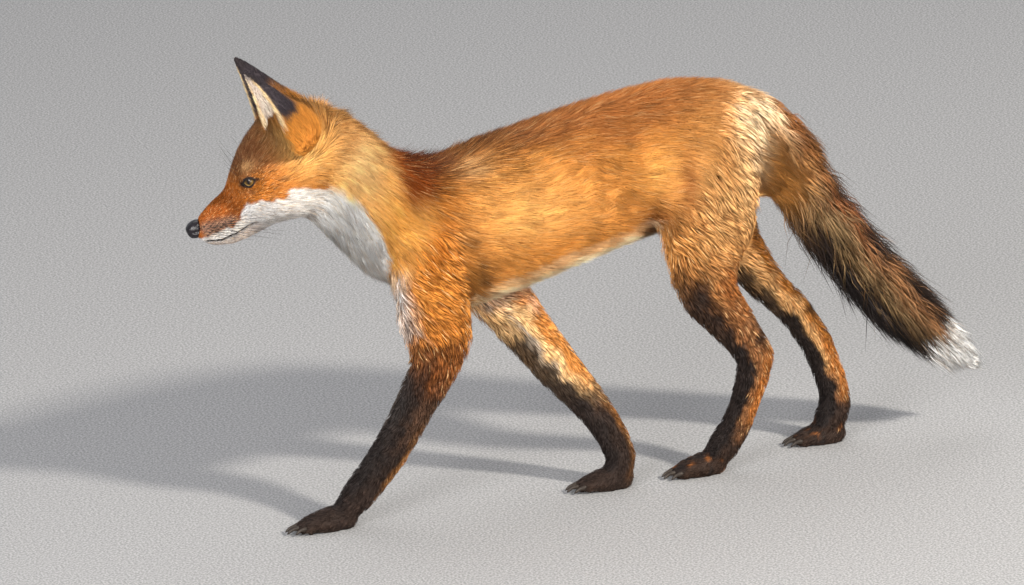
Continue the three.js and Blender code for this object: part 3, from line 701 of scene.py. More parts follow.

body = bmesh.new()
for node in FLESH + FILLED:
    copy = bmesh.new()
    copy.from_mesh(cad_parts[node].data)
    bmesh.ops.remove_doubles(copy, verts=copy.verts, dist=MERGE)
    copy.normal_update()
    for vertex in copy.verts:
        vertex.co += vertex.normal * FLESH_SWELL * MM
    spare = bpy.data.meshes.new("spare")
    copy.to_mesh(spare)
    body.from_mesh(spare)
    bpy.data.meshes.remove(spare)
    copy.free()
skin_mesh = bpy.data.meshes.new("skin")
body.to_mesh(skin_mesh)
body.free()
moulded = bpy.data.objects.new("moulded", skin_mesh)
bpy.context.scene.collection.objects.link(moulded)
remesh = moulded.modifiers.new("close", "REMESH")
remesh.mode = "VOXEL"
remesh.voxel_size = SKIN_GRAIN * MM
closed = bpy.data.meshes.new_from_object(moulded.evaluated_get(bpy.context.evaluated_depsgraph_get()))
bpy.data.objects.remove(moulded)

bm = bmesh.new()
bm.from_mesh(closed)


def places(mesh_being_made):
    return plan_mm([vertex.co for vertex in mesh_being_made.verts])


def place(mesh_being_made, points):
    for vertex, point in zip(mesh_being_made.verts, metres(points)):
        vertex.co = point


def relax(points, edges, rounds, hold):
    """Evens a surface out without shrinking it: each round draws in and lets out again."""
    count = len(points)
    degree = np.bincount(edges.ravel(), minlength=count)[:, None]
    for _ in range(rounds):
        for pull in (0.5, -0.52):
            near = np.stack([np.bincount(edges[:, 0], points[edges[:, 1], k], count)
                             + np.bincount(edges[:, 1], points[edges[:, 0], k], count)
                             for k in range(3)], axis=1) / degree
            points = points + (near - points) * pull * (1 - hold[:, None])
    return points


def edges_of(mesh_being_made):
    mesh_being_made.verts.index_update()
    return np.array([(edge.verts[0].index, edge.verts[1].index) for edge in mesh_being_made.edges])


def normals_of(mesh_being_made):
    mesh_being_made.normal_update()
    return np.array([vertex.normal for vertex in mesh_being_made.verts])


points = places(bm)
plan = Plan(points)
on_sole = points[:, 2] < SOLE_FLAT
in_paw = 1 - smooth(points[:, 2], 22, 34)
offset = points - NOSE_TIP
in_muzzle = (1 - smooth(offset @ HEAD_BACK, 20, 60)) * (plan.line == SPINE)
hold = np.clip(in_paw * 0.75 + in_muzzle * 0.5, 0, 1)
points = relax(points, edges_of(bm), 26, hold)
place(bm, points)
normal = normals_of(bm)
depth = plan.depth * np.where(on_sole, 0.0, 1.0)
points = points - normal * depth[:, None]
points[:, 2] = np.where(on_sole, 0.0, np.maximum(points[:, 2], FLOOR_CLEAR))
place(bm, relax(points, edges_of(bm), 6, hold))


def in_face(middle):
    """Where the hide gets finer faces; the next two make them finer again."""
    return (middle - NOSE_TIP) @ HEAD_BACK < 98 and middle[0] < -280


def near_eye_or_lip(middle):
    back, above = (middle - NOSE_TIP) @ HEAD_BACK, (middle - NOSE_TIP) @ HEAD_UP
    by_lip = abs(above - np.interp(back, MOUTH[:, 0], MOUTH[:, 1])) < 3.4 and back < 70
    return by_lip and middle[0] < -300 or any(np.linalg.norm(middle - eye.centre) < 14.5 for eye in EYES)


def on_lid_edge(middle):
    for eye in EYES:
        rear, _, out = eye.look(middle)
        if out > 0 and abs(rear) < 9 and -1.7 < eye.parted(middle) < 0.9:
            return True
    return False


for wanted in (in_face, near_eye_or_lip, on_lid_edge):
    chosen = [edge for edge in bm.edges if wanted(plan_mm((edge.verts[0].co + edge.verts[1].co) / 2))]
    bmesh.ops.subdivide_edges(bm, edges=chosen, cuts=1, use_grid_fill=True)
bmesh.ops.triangulate(bm, faces=bm.faces)

# the lids: a rim round the slit, a fold over the upper one, and the hollow in which the eye sits
points = places(bm)
for eye in EYES:
    _, up, out = eye.look(points)
    span = np.linalg.norm(points - eye.centre, axis=1)
    near = (span < 15) & (out > -2)
    slit = eye.parted(points)
    rim = 0.55 * np.exp(-(((slit + 1.1) / 0.9) ** 2)) - 0.6 * np.exp(-(((slit + 3.6) / 0.9) ** 2)) * (up > 0)
    lid = eye.lid_radius + rim
    wish = np.maximum(span, lid) + 0.5 * np.exp(-(((span - lid) / 1.2) ** 2))
    wish = np.where((slit > -0.2) & (out > 0), lid - 2.8 * smooth(slit, -0.2, 0.45), wish)
    scale = np.where(near, wish / span, 1.0)
    points = eye.centre + (points - eye.centre) * scale[:, None]
# the crease of the mouth
offset = points - NOSE_TIP
back, aside, above = offset @ HEAD_BACK, offset @ HEAD_RIGHT, offset @ HEAD_UP
lip = np.interp(back, MOUTH[:, 0], MOUTH[:, 1])
crease = np.exp(-(((above - lip) / 0.9) ** 2)) * smooth(back, 4, 9) * (1 - smooth(back, 60, 67))
crease *= points[:, 0] < -300
points -= (np.sign(aside) * crease * 1.9)[:, None] * HEAD_RIGHT
points += (crease * (back < 16) * 1.2)[:, None] * HEAD_BACK
place(bm, points)
normal = normals_of(bm)
skin_colour = markings(points, normal, Plan(points))
skin_mesh = bpy.data.meshes.new("skin")
for polygon in bm.faces:
    polygon.smooth = True
bm.to_mesh(skin_mesh)
bm.free()


def colour_points(mesh, colours):
    layer = mesh.color_attributes.new("markings", "FLOAT_COLOR", "POINT")
    layer.data.foreach_set("color", np.column_stack([colours, np.ones(len(colours))]).ravel())


colour_points(skin_mesh, skin_colour * SKIN_SHADE)
skin_finish = Finish("short_underfur", Roughness=0.75, Specular_IOR_Level=0.12)
tint = skin_finish.node("Attribute", {"attribute_name": "markings"})
grain = skin_finish.node("TexNoise", Vector=skin_finish.node("TexCoord", output=3), Scale=700.0, Detail=3.0)
skin_finish.set("Base Color", skin_finish.mix((grain - 0.35) * 0.8, tint, (0.02, 0.013, 0.01, 1)))
skin_finish.set("Normal", skin_finish.node("Bump", Strength=0.5, Distance=0.0006, Height=grain))
piece_from("skin", skin_mesh, skin_finish, FLESH)


# ---- Ears ----------------------------------------------------------------------------------------
# Each ear is a thin upright cup of gristle that opens forward and a little outward. It is drawn as a
# sheet, bent round its axis and given its thickness, and its root stands inside the head's fur.
EAR_LENGTH = 86
EAR_RADIUS = 26.5
EAR_PRICKED = 3.5  # how far the left ear stands behind the middle, and the right one before it
EAR_OPENS = math.radians(30)
EAR_WALL = 1.7
EAR_SUNK, EAR_RISE = -0.16, 1.145  # where the cup starts and how far it goes, in ear lengths
EAR_LOWEST = -0.18
EAR_SHADE = 0.8  # the gristle is darker than the fur over it


class Ear:
    """The shape of one ear, and where any point lies on it."""

    def __init__(self, name, side):
        self.name = name
        foot = in_head(142.5 - side * EAR_PRICKED, side * 29, 43)
        top = in_head(133.5 - side * EAR_PRICKED, side * 36, 113.5)
        self.axis = unit(top - foot)
        facing = -math.cos(EAR_OPENS) * HEAD_BACK + side * math.sin(EAR_OPENS) * HEAD_RIGHT
        self.front = unit(facing - (facing @ self.axis) * self.axis)
        self.across = np.cross(self.axis, self.front)
        self.root = foot - self.axis * (EAR_LENGTH - np.linalg.norm(top - foot))

    def spread(self, height):
        return np.radians(128 - 48 * height)

    def radius(self, height):
        drawn_in = 1 + 2.0 * np.minimum(height, 0)
        return EAR_RADIUS * (1 - height) ** 0.8 * (1 + 0.2 * height) * drawn_in + 0.6

    def wall(self, turn, height):
        """A place on the cup's outside: turn runs from -1 to 1 round it, height from 0 to 1."""
        angle, radius = turn * self.spread(height), self.radius(height)
        centre = self.root + self.axis * EAR_LENGTH * height + self.front * radius * 0.25
        return centre - self.front * radius * math.cos(angle) + self.across * radius * math.sin(angle)

    def read(self, points):
        """Height up the ear, how far round from its back (-1 to 1), and whether on its inside."""
        offset = points - self.root
        height = np.clip(offset @ self.axis / EAR_LENGTH, EAR_LOWEST, 1)
        radius = self.radius(height)
        forward, aside = offset @ self.front - radius * 0.25, offset @ self.across
        inside = np.hypot(forward, aside) < radius - EAR_WALL / 2
        return height, np.arctan2(aside, -forward) / self.spread(height), inside

    def paint(self, points):
        height, turn, inside = self.read(points)
        ragged = drift(points, 9, 4) * 0.05
        paint = Paint(len(points), SLATE)
        paint.over(SOOT, smooth(height, 0.7, 0.9) * 0.6)
        low_at_back = (1 - smooth(np.abs(turn), 0.1, 0.4)) * (1 - smooth(height, 0.34, 0.56))
        paint.over((0.42, 0.17, 0.045), low_at_back * 0.8)
        paint.over(GOLD, 1 - smooth(height + ragged, 0.14, 0.30))
        paint.over((0.88, 0.74, 0.62), inside)
        # deep in the cup, away from its rims: partly the cup's darker skin, partly painted shade in its
        # hollow
        paint.over((0.30, 0.23, 0.21), inside * (1 - smooth(np.abs(turn), 0.1, 0.6)) * 0.8)
        paint.over(SLATE, inside * smooth(height, 0.7, 0.95) * 0.7)
        rim = smooth(np.abs(turn), 0.88, 0.97) * (1 - smooth(height, 0.78, 0.92))
        paint.over((0.95, 0.68, 0.38), rim * smooth(height, 0.12, 0.24))
        return paint.colour


def corner_order(face):
    """Puts faces in the order of their corners, so that the fur grows the same on every run."""
    first, second, third = sorted(vertex.index for vertex in face.verts)
    return (first * 1e4 + second) * 1e4 + third


EARS = [Ear("ear_left", -1), Ear("ear_right", 1)]
ear_meshes = {}
for ear in EARS:
    bm = bmesh.new()
    bmesh.ops.create_grid(bm, x_segments=22, y_segments=30, size=1)
    for vertex in bm.verts:
        turn, height = vertex.co.x, EAR_SUNK + (vertex.co.y + 1) / 2 * EAR_RISE
        vertex.co = metres(ear.wall(turn, height))
    bmesh.ops.recalc_face_normals(bm, faces=bm.faces)
    bm.normal_update()
    if sum(face.normal.dot(Vector(ear.front)) for face in bm.faces) > 0:
        bmesh.ops.reverse_faces(bm, faces=bm.faces)
    bmesh.ops.solidify(bm, geom=bm.faces[:], thickness=EAR_WALL * MM)
    bmesh.ops.recalc_face_normals(bm, faces=bm.faces)
    bmesh.ops.smooth_vert(bm, verts=bm.verts, factor=0.3, use_axis_x=True, use_axis_y=True, use_axis_z=True)
    for polygon in bm.faces:
        polygon.smooth = True
    bmesh.ops.triangulate(bm, faces=bm.faces)
    bm.verts.index_update()
    bm.faces.sort(key=corner_order)
    colours = ear.paint(places(bm))
    ear_mesh = bpy.data.meshes.new(ear.name + "_cup")
    bm.to_mesh(ear_mesh)
    bm.free()
    colour_points(ear_mesh, colours * EAR_SHADE)
    ear_meshes[ear.name] = ear_mesh
    piece_from(ear.name + "_cup", ear_mesh, skin_finish, [ear.name])


# ---- Nose ----------------------------------------------------------------------------------------
# A pad of moist black leather, pebbled all over. A nostril like a comma opens on each side of its
# front and runs back in a slot, and a groove parts it below.
nose_copy = bmesh.new()
nose_copy.from_mesh(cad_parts["nose"].data)
bmesh.ops.remove_doubles(nose_copy, verts=nose_copy.verts, dist=MERGE)
bmesh.ops.triangulate(nose_copy, faces=nose_copy.faces)
bmesh.ops.subdivide_edges(nose_copy, edges=nose_copy.edges, cuts=3, use_grid_fill=True, smooth=0.35)
points = places(nose_copy)
offset = points - NOSE_TIP
back, aside, above = offset @ HEAD_BACK, offset @ HEAD_RIGHT, offset @ HEAD_UP
off_middle = np.abs(aside) - 4.4
nostril = np.exp(-((off_middle / 1.5) ** 2 + ((above + 3.2 + off_middle * 0.8) / 1.4) ** 2))
nostril *= 1 - smooth(back, 0, 5)
slot_behind = spot(back, above + back * 0.35, (4.6, -3.0), (2.6, 1.1)) * smooth(np.abs(aside), 4.5, 6.5)
groove = np.exp(-((aside / 0.7) ** 2)) * (1 - smooth(above, -5, 0)) * (1 - smooth(back, 0, 6))
points += (nostril * 4.2 + groove)[:, None] * HEAD_BACK
points -= (np.sign(aside) * slot_behind * 2.2)[:, None] * HEAD_RIGHT
place(nose_copy, points)
for polygon in nose_copy.faces:
    polygon.smooth = True
nose_mesh = bpy.data.meshes.new("nose_leather")
nose_copy.to_mesh(nose_mesh)
nose_finish = Finish("nose_leather", Roughness=0.24, Specular_IOR_Level=0.4)
spots = nose_finish.node("TexVoronoi", Vector=nose_finish.node("TexCoord", output=3), Scale=1500.0)
nose_finish.set("Base Color", nose_finish.mix(spots, (0.010, 0.008, 0.010, 1), (0.004, 0.003, 0.004, 1)))
nose_finish.set("Normal", nose_finish.node("Bump", Strength=0.3, Distance=0.0003, Height=1 - spots))
piece_from("nose_leather", nose_mesh, nose_finish, ["nose"])


# ---- Claws ---------------------------------------------------------------------------------------
# Blunt horn claws, four to a foot, growing out of the toes just clear of the floor. The solids' own
# claws are rounded here, and each foot's four are one piece.
claw_finish = Finish("claw_horn", Roughness=0.45, Specular_IOR_Level=0.2)
streak = claw_finish.node("TexNoise", Vector=claw_finish.node("TexCoord", output=3), Scale=420.0, Detail=2.0)
claw_finish.set("Base Color", claw_finish.mix(streak, (0.008, 0.006, 0.005, 1), (0.045, 0.034, 0.026, 1)))
for foot in ("fore_left", "fore_right", "hind_left", "hind_right"):
    nodes = [f"claw_{foot}_{toe}" for toe in (1, 2, 3, 4)]
    bm = bmesh.new()
    for node in nodes:
        bm.from_mesh(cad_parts[node].data)
    bmesh.ops.remove_doubles(bm, verts=bm.verts, dist=MERGE)
    bmesh.ops.subdivide_edges(bm, edges=bm.edges, cuts=2, use_grid_fill=True, smooth=0.5)
    for polygon in bm.faces:
        polygon.smooth = True
    claw_mesh = bpy.data.meshes.new(f"claws_{foot}")
    bm.to_mesh(claw_mesh)
    piece_from(f"claws_{foot}", claw_mesh, claw_finish, nodes)


# ---- Coat ----------------------------------------------------------------------------------------
# Fur in locks: each is a thin closed strand, three-sided, rooted in the skin and tapering to a point.
# It rises from the skin, bends over and lies the way the body's lines run, and draws towards its
# neighbours' tips, so that the coat parts into locks as real fur does.
class Surface:
    """A triangulated skin to grow on, in millimetres."""

    def __init__(self, mesh):
        mesh.calc_loop_triangles()
        count = len(mesh.vertices)
        self.points = np.empty(count * 3)
        mesh.vertices.foreach_get("co", self.points)
        self.points = plan_mm(self.points.reshape(-1, 3))
        self.normals = np.empty(count * 3)
        mesh.vertices.foreach_get("normal", self.normals)
        self.normals = self.normals.reshape(-1, 3)
        self.triangles = np.empty(len(mesh.loop_triangles) * 3, int)
        mesh.loop_triangles.foreach_get("vertices", self.triangles)
        self.triangles = self.triangles.reshape(-1, 3)
        a, b, c = (self.points[self.triangles[:, k]] for k in range(3))
        self.areas = np.linalg.norm(np.cross(b - a, c - a), axis=1) / 2
        self.middles = (a + b + c) / 3
        self.tree = BVHTree.FromPolygons(self.points.tolist(), self.triangles.tolist())

    def scatter(self, weights, count, source):
        """Root places and the skin's normal there, thrown by weight over the triangles."""
        chosen = source.choice(len(weights), count, p=weights / weights.sum())
        first, second = source.random((2, count))
        over = first + second > 1
        first[over], second[over] = 1 - first[over], 1 - second[over]
        shares = np.stack([1 - first - second, first, second], axis=1)[:, :, None]
        corners = self.triangles[chosen]
        return (self.points[corners] * shares).sum(1), unit((self.normals[corners] * shares).sum(1))

    def settle(self, points, heights):
        """Moves points to the given heights over the nearest skin."""
        settled = np.empty_like(points)
        for number, (point, height) in enumerate(zip(points.tolist(), heights.tolist())):
            foot, normal, _, _ = self.tree.find_nearest(point)
            settled[number] = foot + normal * height
        return settled


ROOTED = 0.4  # how deep in the skin a lock starts
BEND_ALONG, BEND_HEIGHT = 0.42, 0.95  # where a lock bends over, against its length and its height
LOCK_LOWEST = 0.2  # no hair hangs lower over the floor
BREADTHS = {1: (1.0,), 2: (1.0, 0.8)}  # a lock's breadth at each ring, against its width
PATCH_ACROSS, PATCH_ALONG = 0.0012, 0.0028  # the piece of the map that one lock gets


def flat_map(points, plan):
    """Where each root falls on an unwrap of the skin: round the body by along it."""
    ahead = unit(plan.heading)
    above = np.where(np.abs(ahead[:, 2:]) > 0.85, (-1.0, 0.0, 0.0), (0.0, 0.0, 1.0))
    above = unit(above - (above * ahead).sum(1, keepdims=True) * ahead)
    beside = np.cross(ahead, above)
    radial = plan.from_line
    turn = np.arctan2((radial * beside).sum(1), (radial * above).sum(1)) / (2 * math.pi) + 0.5
    low, high = plan.run.min(), plan.run.max()
    return np.column_stack([0.01 + 0.97 * turn, 0.01 + 0.97 * (plan.run - low) / (high - low)])


def gather(roots, pitch, source):
    """Makes a leader of one lock in so many, and finds the leader that stands nearest to each lock."""
    leaders = source.choice(len(roots), max(2, int(len(roots) / pitch)), replace=False)
    tree = KDTree(len(leaders))
    for number, leader in enumerate(roots[leaders].tolist()):
        tree.insert(leader, number)
    tree.balance()
    return leaders, np.array([tree.find(root)[1] for root in roots.tolist()])


def faces_of_lock(rings):
    """One closed lock's faces: under its root, up its sides, and round its point."""
    faces = [(2, 1, 0)]
    for ring in range(rings - 1):
        for corner in range(3):
            here, beside = ring * 3 + corner, ring * 3 + (corner + 1) % 3
            faces += [(here, beside, beside + 3), (here, beside + 3, here + 3)]
    last = (rings - 1) * 3
    faces += [(last + corner, last + (corner + 1) % 3, last + 3) for corner in range(3)]
    return np.array(faces)


def join_locks(name, verts, shades, unwrap, rings):
    """Joins locks in one piece that carries their shades, and gives each its patch of the map."""
    count, per_lock = verts.shape[:2]
    first_corner = (np.arange(count) * per_lock)[:, None, None]
    corners = (faces_of_lock(rings)[None] + first_corner).reshape(-1)
    mesh = bpy.data.meshes.new(name)
    mesh.vertices.add(count * per_lock)
    mesh.vertices.foreach_set("co", metres(verts).ravel())
    mesh.loops.add(len(corners))
    mesh.loops.foreach_set("vertex_index", corners)
    mesh.polygons.add(len(corners) // 3)
    mesh.polygons.foreach_set("loop_start", np.arange(0, len(corners), 3))
    mesh.polygons.foreach_set("use_smooth", np.ones(len(corners) // 3, bool))
    mesh.update(calc_edges=True)
    colour_points(mesh, np.clip(shades.reshape(-1, 3), 0, 1))
    patch = np.array([(k % 3 * PATCH_ACROSS, k // 3 * PATCH_ALONG / rings) for k in range(per_lock)])
    spread = (unwrap[:, None, :] + patch[None]).reshape(-1, 2)
    bake = mesh.uv_layers.new(name="OFBake")
    bake.data.foreach_set("uv", spread[corners].ravel())
    piece_from(name, mesh, coat_finish)


def lay_locks(name, roots, normals, lie, length, height, width, colours, unwrap, surface, rings, clump,
              source, tip_dark, root_shade):
    """Bends and draws together the locks of one piece, with so many three-sided rings to each."""
    count = len(roots)
    lie = unit(lie - (lie * normals).sum(1, keepdims=True) * normals)
    tips = surface.settle(roots + lie * length[:, None] + normals * height[:, None] * 0.5, height)
    # the locks round each leader draw towards its tip, and share something of its shade
    pitch, pull = clump
    leaders, group = gather(roots, pitch, source)
    nearest = leaders[group]
    drawn = pull * source.uniform(0.4, 1.0, count)[:, None]
    far = np.linalg.norm(roots - roots[nearest], axis=1)[:, None]
    drawn = np.where(far > length[:, None] * 0.8, 0, drawn)
    tips = tips + (tips[nearest] - tips) * drawn
    colours = colours * (1 + 0.13 * source.normal(size=len(leaders)).clip(-2, 2)[group])[:, None]
    shoulder = roots + lie * (length * BEND_ALONG)[:, None] + normals * (height * BEND_HEIGHT)[:, None]
    shoulder += (shoulder[nearest] - shoulder) * drawn * 0.35
    base = roots - normals * ROOTED

    # rings of three corners along a bend from the root past the shoulder to the tip
    tip_tint = colours * (1.15 - np.broadcast_to(tip_dark, count))[:, None]
    verts, shades = [], []
    for step, breadth in zip(np.linspace(0, 1, rings + 1), BREADTHS[rings]):
        centre = (1 - step) ** 2 * base + 2 * step * (1 - step) * shoulder + step**2 * tips
        course = unit(2 * (1 - step) * (shoulder - base) + 2 * step * (tips - shoulder) + 1e-6)
        beside = unit(np.cross(course, normals))
        ridge = np.cross(beside, course)
        half = (width * breadth / 2)[:, None]
        corners = (centre - beside * half, centre + ridge * half * 0.9, centre + beside * half)
        verts.append(np.stack(corners, axis=1))
        # darker towards the root: the underfur's tone and painted shade among the locks
        tint = colours * (root_shade + (1 - root_shade) * min(1, step * 2))
        shades.append(np.repeat(tint[:, None, :], 3, axis=1))
    verts = np.concatenate([*verts, tips[:, None, :]], axis=1)
    verts[..., 2] = np.maximum(verts[..., 2], LOCK_LOWEST)
    shades = np.concatenate([*shades, tip_tint[:, None, :]], axis=1)
    join_locks(name, verts, shades, unwrap, rings)


coat_finish = Finish("fur", Roughness=0.55, Specular_IOR_Level=0.15)
coat_finish.set("Base Color", coat_finish.node("Attribute", {"attribute_name": "markings"}))

# no fur grows on the soles, under the nose leather, on the lids' edges or on the lips
BARE_SOLE = 1.5
hide = Surface(skin_mesh)
hide_plan = Plan(hide.middles)
offset = hide.middles - NOSE_TIP
hide_back, hide_above = offset @ HEAD_BACK, offset @ HEAD_UP
bare = (hide.middles[:, 2] < BARE_SOLE) | ((hide_back < 5) & (hide_plan.line == SPINE))
for eye in EYES:
    rear, up, out = eye.look(hide.middles)
    bare |= (eye.parted(hide.middles) > -1.0) & (np.hypot(rear, up) < 11) & (out > 0)
by_lip = np.abs(hide_above - np.interp(hide_back, MOUTH[:, 0], MOUTH[:, 1])) < 1.1
bare |= by_lip & (hide_back < 66) & (hide_plan.line == SPINE)
growing = np.where(bare, 0.0, hide.areas * hide_plan.density)
spine_run = np.where(hide_plan.line == SPINE, hide_plan.run, -1)


class Foot:
    """The toes of one foot: which way they point, and where the clefts between them run."""
    cleft_width = 1.3

    def __init__(self, name, line):
        before, after = np.array(COAT_LINES[line])[-2:, :3]
        self.ahead = unit((after - before) * (1, 1, 0))
        self.across = np.cross((0.0, 0.0, 1.0), self.ahead)
        boxes = [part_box(f"claw_{name}_{toe}") for toe in (1, 2, 3, 4)]
        claws = np.array([(plan_mm(low) + plan_mm(high)) / 2 for low, high in boxes])
        toes = np.sort(claws @ self.across)
        self.clefts = (toes[1:] + toes[:-1]) / 2
        self.tips = (claws @ self.ahead).max()

    def cleft(self, points):
        """How far into a cleft each point lies, from 0 to 1."""
        across, behind = points @ self.across, self.tips - points @ self.ahead
        nearest = np.abs(across[:, None] - self.clefts).min(axis=1)
        within = smooth(behind, -2, 3) * (1 - smooth(behind, 20, 32)) * (points[:, 2] < 30)
        within *= np.abs(across - self.clefts[1]) < 20
        return np.exp(-((nearest / self.cleft_width) ** 2)) * within


FEET = [Foot(name, line) for name, line in (
    ("fore_left", "foreleg_left"), ("fore_right", "foreleg_right"),
    ("hind_left", "hindleg_left"), ("hind_right", "hindleg_right"))]


def on_spine(first, last):
    return (spine_run >= first) & (spine_run < last)


#    name, where it grows, rings, locks, the clumps' pitch and pull, tousle, width against the plan's
COATS = [
    ("coat_face", on_spine(0, 98), 1, 40000, (6, 0.25), 0.16, 0.85),
    ("coat_crown", on_spine(98, 168), 1, 31000, (12, 0.35), 0.2, 0.7),
    ("coat_neck", on_spine(168, 262), 1, 32000, (18, 0.5), 0.24, 0.7),
    ("coat_shoulders", on_spine(262, 372), 1, 31000, (16, 0.45), 0.2, 0.7),
    ("coat_ribs", on_spine(372, 470), 1, 31000, (16, 0.5), 0.22, 0.7),
    ("coat_loin", on_spine(470, 570), 1, 29000, (16, 0.5), 0.22, 0.7),
    ("coat_rump", on_spine(570, 900), 1, 22000, (15, 0.45), 0.2, 0.7),
    ("coat_tail", hide_plan.line == TAIL, 2, 15500, (10, 0.45), 0.24, 0.7),
    ("coat_foreleg_left", hide_plan.line == FORELEG_LEFT, 2, 9000, (14, 0.62), 0.24, 0.9),
    ("coat_foreleg_right", hide_plan.line == FORELEG_RIGHT, 2, 8500, (14, 0.62), 0.24, 0.9),
    ("coat_hindleg_left", hide_plan.line == HINDLEG_LEFT, 2, 11500, (15, 0.64), 0.26, 0.9),
    ("coat_hindleg_right", hide_plan.line == HINDLEG_RIGHT, 2, 9000, (15, 0.62), 0.26, 0.9),
]
# how dark each lock is at its root: partly the underfur's own tone, partly painted shade among the locks
ROOT_SHADE = {"coat_face": 0.75, "coat_crown": 0.72, "coat_neck": 0.78, "coat_tail": 0.7}
USUAL_ROOT_SHADE = 0.6
DARK_BAND = (0.52, 0.44, 0.38)
THINNED = 1.0
for seed, (name, where, rings, locks, clump, tousle, fineness) in enumerate(COATS, start=11):
    source = np.random.default_rng(seed)
    weights = np.where(where, growing, 0.0)
    count = int(locks * THINNED)
    roots, normals = hide.scatter(weights, count, source)
    plan = Plan(roots)
    # the lie: along the lines, sinking on the body's sides, and sweeping back over shoulder and thigh
    lie = plan.heading.copy()
    sag = np.interp(plan.run, (0, 120, 180, 270, 400, 520), (0.0, 0.15, 0.35, 0.40, 0.16, 0.25))
    lie[:, 2] -= np.where(plan.line == SPINE, sag, np.where(plan.line == TAIL, 0.12, 0.05))
    upper_legs = plan.share[:, FORELEG_LEFT:].sum(1)
    lie[:, 0] += upper_legs * smooth(roots[:, 2], 150, 240) * 1.1
    beside = unit(np.cross(normals, unit(lie)))
    sway = (drift(roots, 34, seed) * 0.9 + drift(roots, 13, seed + 50) * 0.55) * tousle
    waves = spot(roots[:, 0], roots[:, 2], (0, 325), (55, 36)) * (plan.line == SPINE)
    sway += drift(roots, 17, 90) * waves * 0.8 + source.normal(0, 0.09, count)
    lie = unit(lie) + beside * sway[:, None]
    length = plan.length * source.uniform(0.7, 1.2, count)
    height = plan.depth * source.uniform(0.5, 1.08, count)
    # longer hairs stand proud down the nape and the back, and hang under the tail
    on_back = smooth(plan.run, 230, 300)
    nape = smooth(normals[:, 2], 0.5 - 0.4 * on_back, 0.95 - 0.25 * on_back)
    nape *= (plan.line == SPINE) * smooth(plan.run, 90, 150)
    nape *= 1 - smooth(plan.run, 380, 520)
    crest = nape * (1 - smooth(plan.run, 250, 330))
    proud = source.random(count) < 0.08 + 0.10 * crest
    height = np.where(proud, height * (1.35 + 0.8 * crest), height)
    hanging = smooth(-unit(plan.from_line)[:, 2], 0.0, 0.6) * (plan.line == TAIL)
    lie[:, 2] -= hanging * source.uniform(0, 0.25, count)
    length *= 1 + 0.25 * hanging
    # shorter round the eyes, pressed into the clefts of the toes and darkened there with painted shade, and
    # standing up round the ears
    cleft_painted_shade = np.ones(count)
    for eye in EYES:
        beyond = smooth(np.linalg.norm(roots - eye.centre, axis=1), 9, 24)
        length *= 0.3 + 0.7 * beyond
        height *= 0.25 + 0.75 * beyond
    for foot in FEET:
        cleft = foot.cleft(roots)
        height *= 1 - 0.8 * cleft
        # painted shade in the clefts between the toes
        cleft_painted_shade *= 1 - 0.75 * cleft
    for ear in EARS:
        span = np.linalg.norm(roots - ear.root - ear.axis * 6, axis=1)
        collar = (np.exp(-((span / 37) ** 6)) * (plan.line == SPINE))[:, None]
        lie = lie * (1 - 0.6 * collar) + ear.axis * collar * 1.3
        height += collar[:, 0] * source.uniform(2, 10, count)
        length += collar[:, 0] * 5
    colours = markings(roots + unit(lie) * (length * 0.45)[:, None], normals, plan)
    colours *= (cleft_painted_shade * source.uniform(0.86, 1.14, count))[:, None]
    # hairs banded dark or pale stand among the rest, most of all over the brow, crown and back
    grizzled = np.where(plan.line == SPINE, 0.04 + 0.2 * smooth(normals[:, 2], 0.3, 0.9), 0.2)
    grizzled += 0.12 * smooth(plan.run, 70, 95) * (1 - smooth(plan.run, 140, 165)) * (plan.line == SPINE)
    chance = source.random(count)
    colours[chance < grizzled] *= DARK_BAND
    colours[proud & (crest > 0.3)] *= 0.35
    pale = (chance > 0.94) & (colours[:, 0] > 0.15) & (plan.line != TAIL)
    colours[pale] += (np.array(STRAW) - colours[pale]) * 0.5
    # black tips: on the nape, the back and much of the tail
    tip_dark = (0.1 + 0.75 * nape) * (source.random(count) < 0.30 + 0.35 * nape)
    if name == "coat_tail":
        tip_dark = np.where(source.random(count) < 0.4, 0.75, 0.0) * (colours.mean(1) < 0.5)
    width = plan.width * fineness * source.uniform(0.75, 1.2, count)
    lay_locks(name, roots, normals, lie, length, height, width, np.clip(colours, 0, 1),
              flat_map(roots, plan), hide, rings, clump, source, tip_dark,
              ROOT_SHADE.get(name, USUAL_ROOT_SHADE))

# the ears' own fur: short and dark up the back, pale and longer from the rims across the cup
EAR_LOCKS = 10500
for seed, ear in enumerate(EARS, start=40):
    source = np.random.default_rng(seed)
    cup = Surface(ear_meshes[ear.name])
    up_ear, _, inside = ear.read(cup.middles)
    weights = cup.areas * np.where(inside, 0.5, 1.0) * (up_ear > np.where(inside, 0.06, -0.15))
    count = int(EAR_LOCKS * THINNED)
    roots, normals = cup.scatter(weights, count, source)
    up_ear, turn, inside = ear.read(roots)
    lie = np.tile(ear.axis, (count, 1)) + source.normal(0, 0.14, (count, 3))
    lie -= (np.sign(turn) * inside * (1 - up_ear) * 0.7)[:, None] * ear.across
    low = np.clip(1 - up_ear, 0, 1)
    length = np.where(inside, 6 + 13 * low, 4.5 + 16 * low**3) * source.uniform(0.7, 1.15, count)
    length *= 1 - 0.45 * smooth(up_ear, 0.75, 1)
    height = np.where(inside, 1.2 + 3.2 * low, 1.0 + 6 * low**4) * source.uniform(0.6, 1.1, count)
    colours = ear.paint(roots) * source.uniform(0.7, 1.25, count)[:, None]
    round_ear = 0.02 + 0.45 * (np.clip(turn, -1, 1) + 1) / 2 + 0.5 * inside
    unwrap = np.column_stack([round_ear, 0.02 + 0.95 * up_ear])
    width = 0.55 * source.uniform(0.8, 1.3, count)
    lay_locks(f"coat_{ear.name}", roots, normals, lie, length, height, width, np.clip(colours, 0, 1),
              unwrap, cup, 1, (6, 0.3), source, 0.05, 0.7)


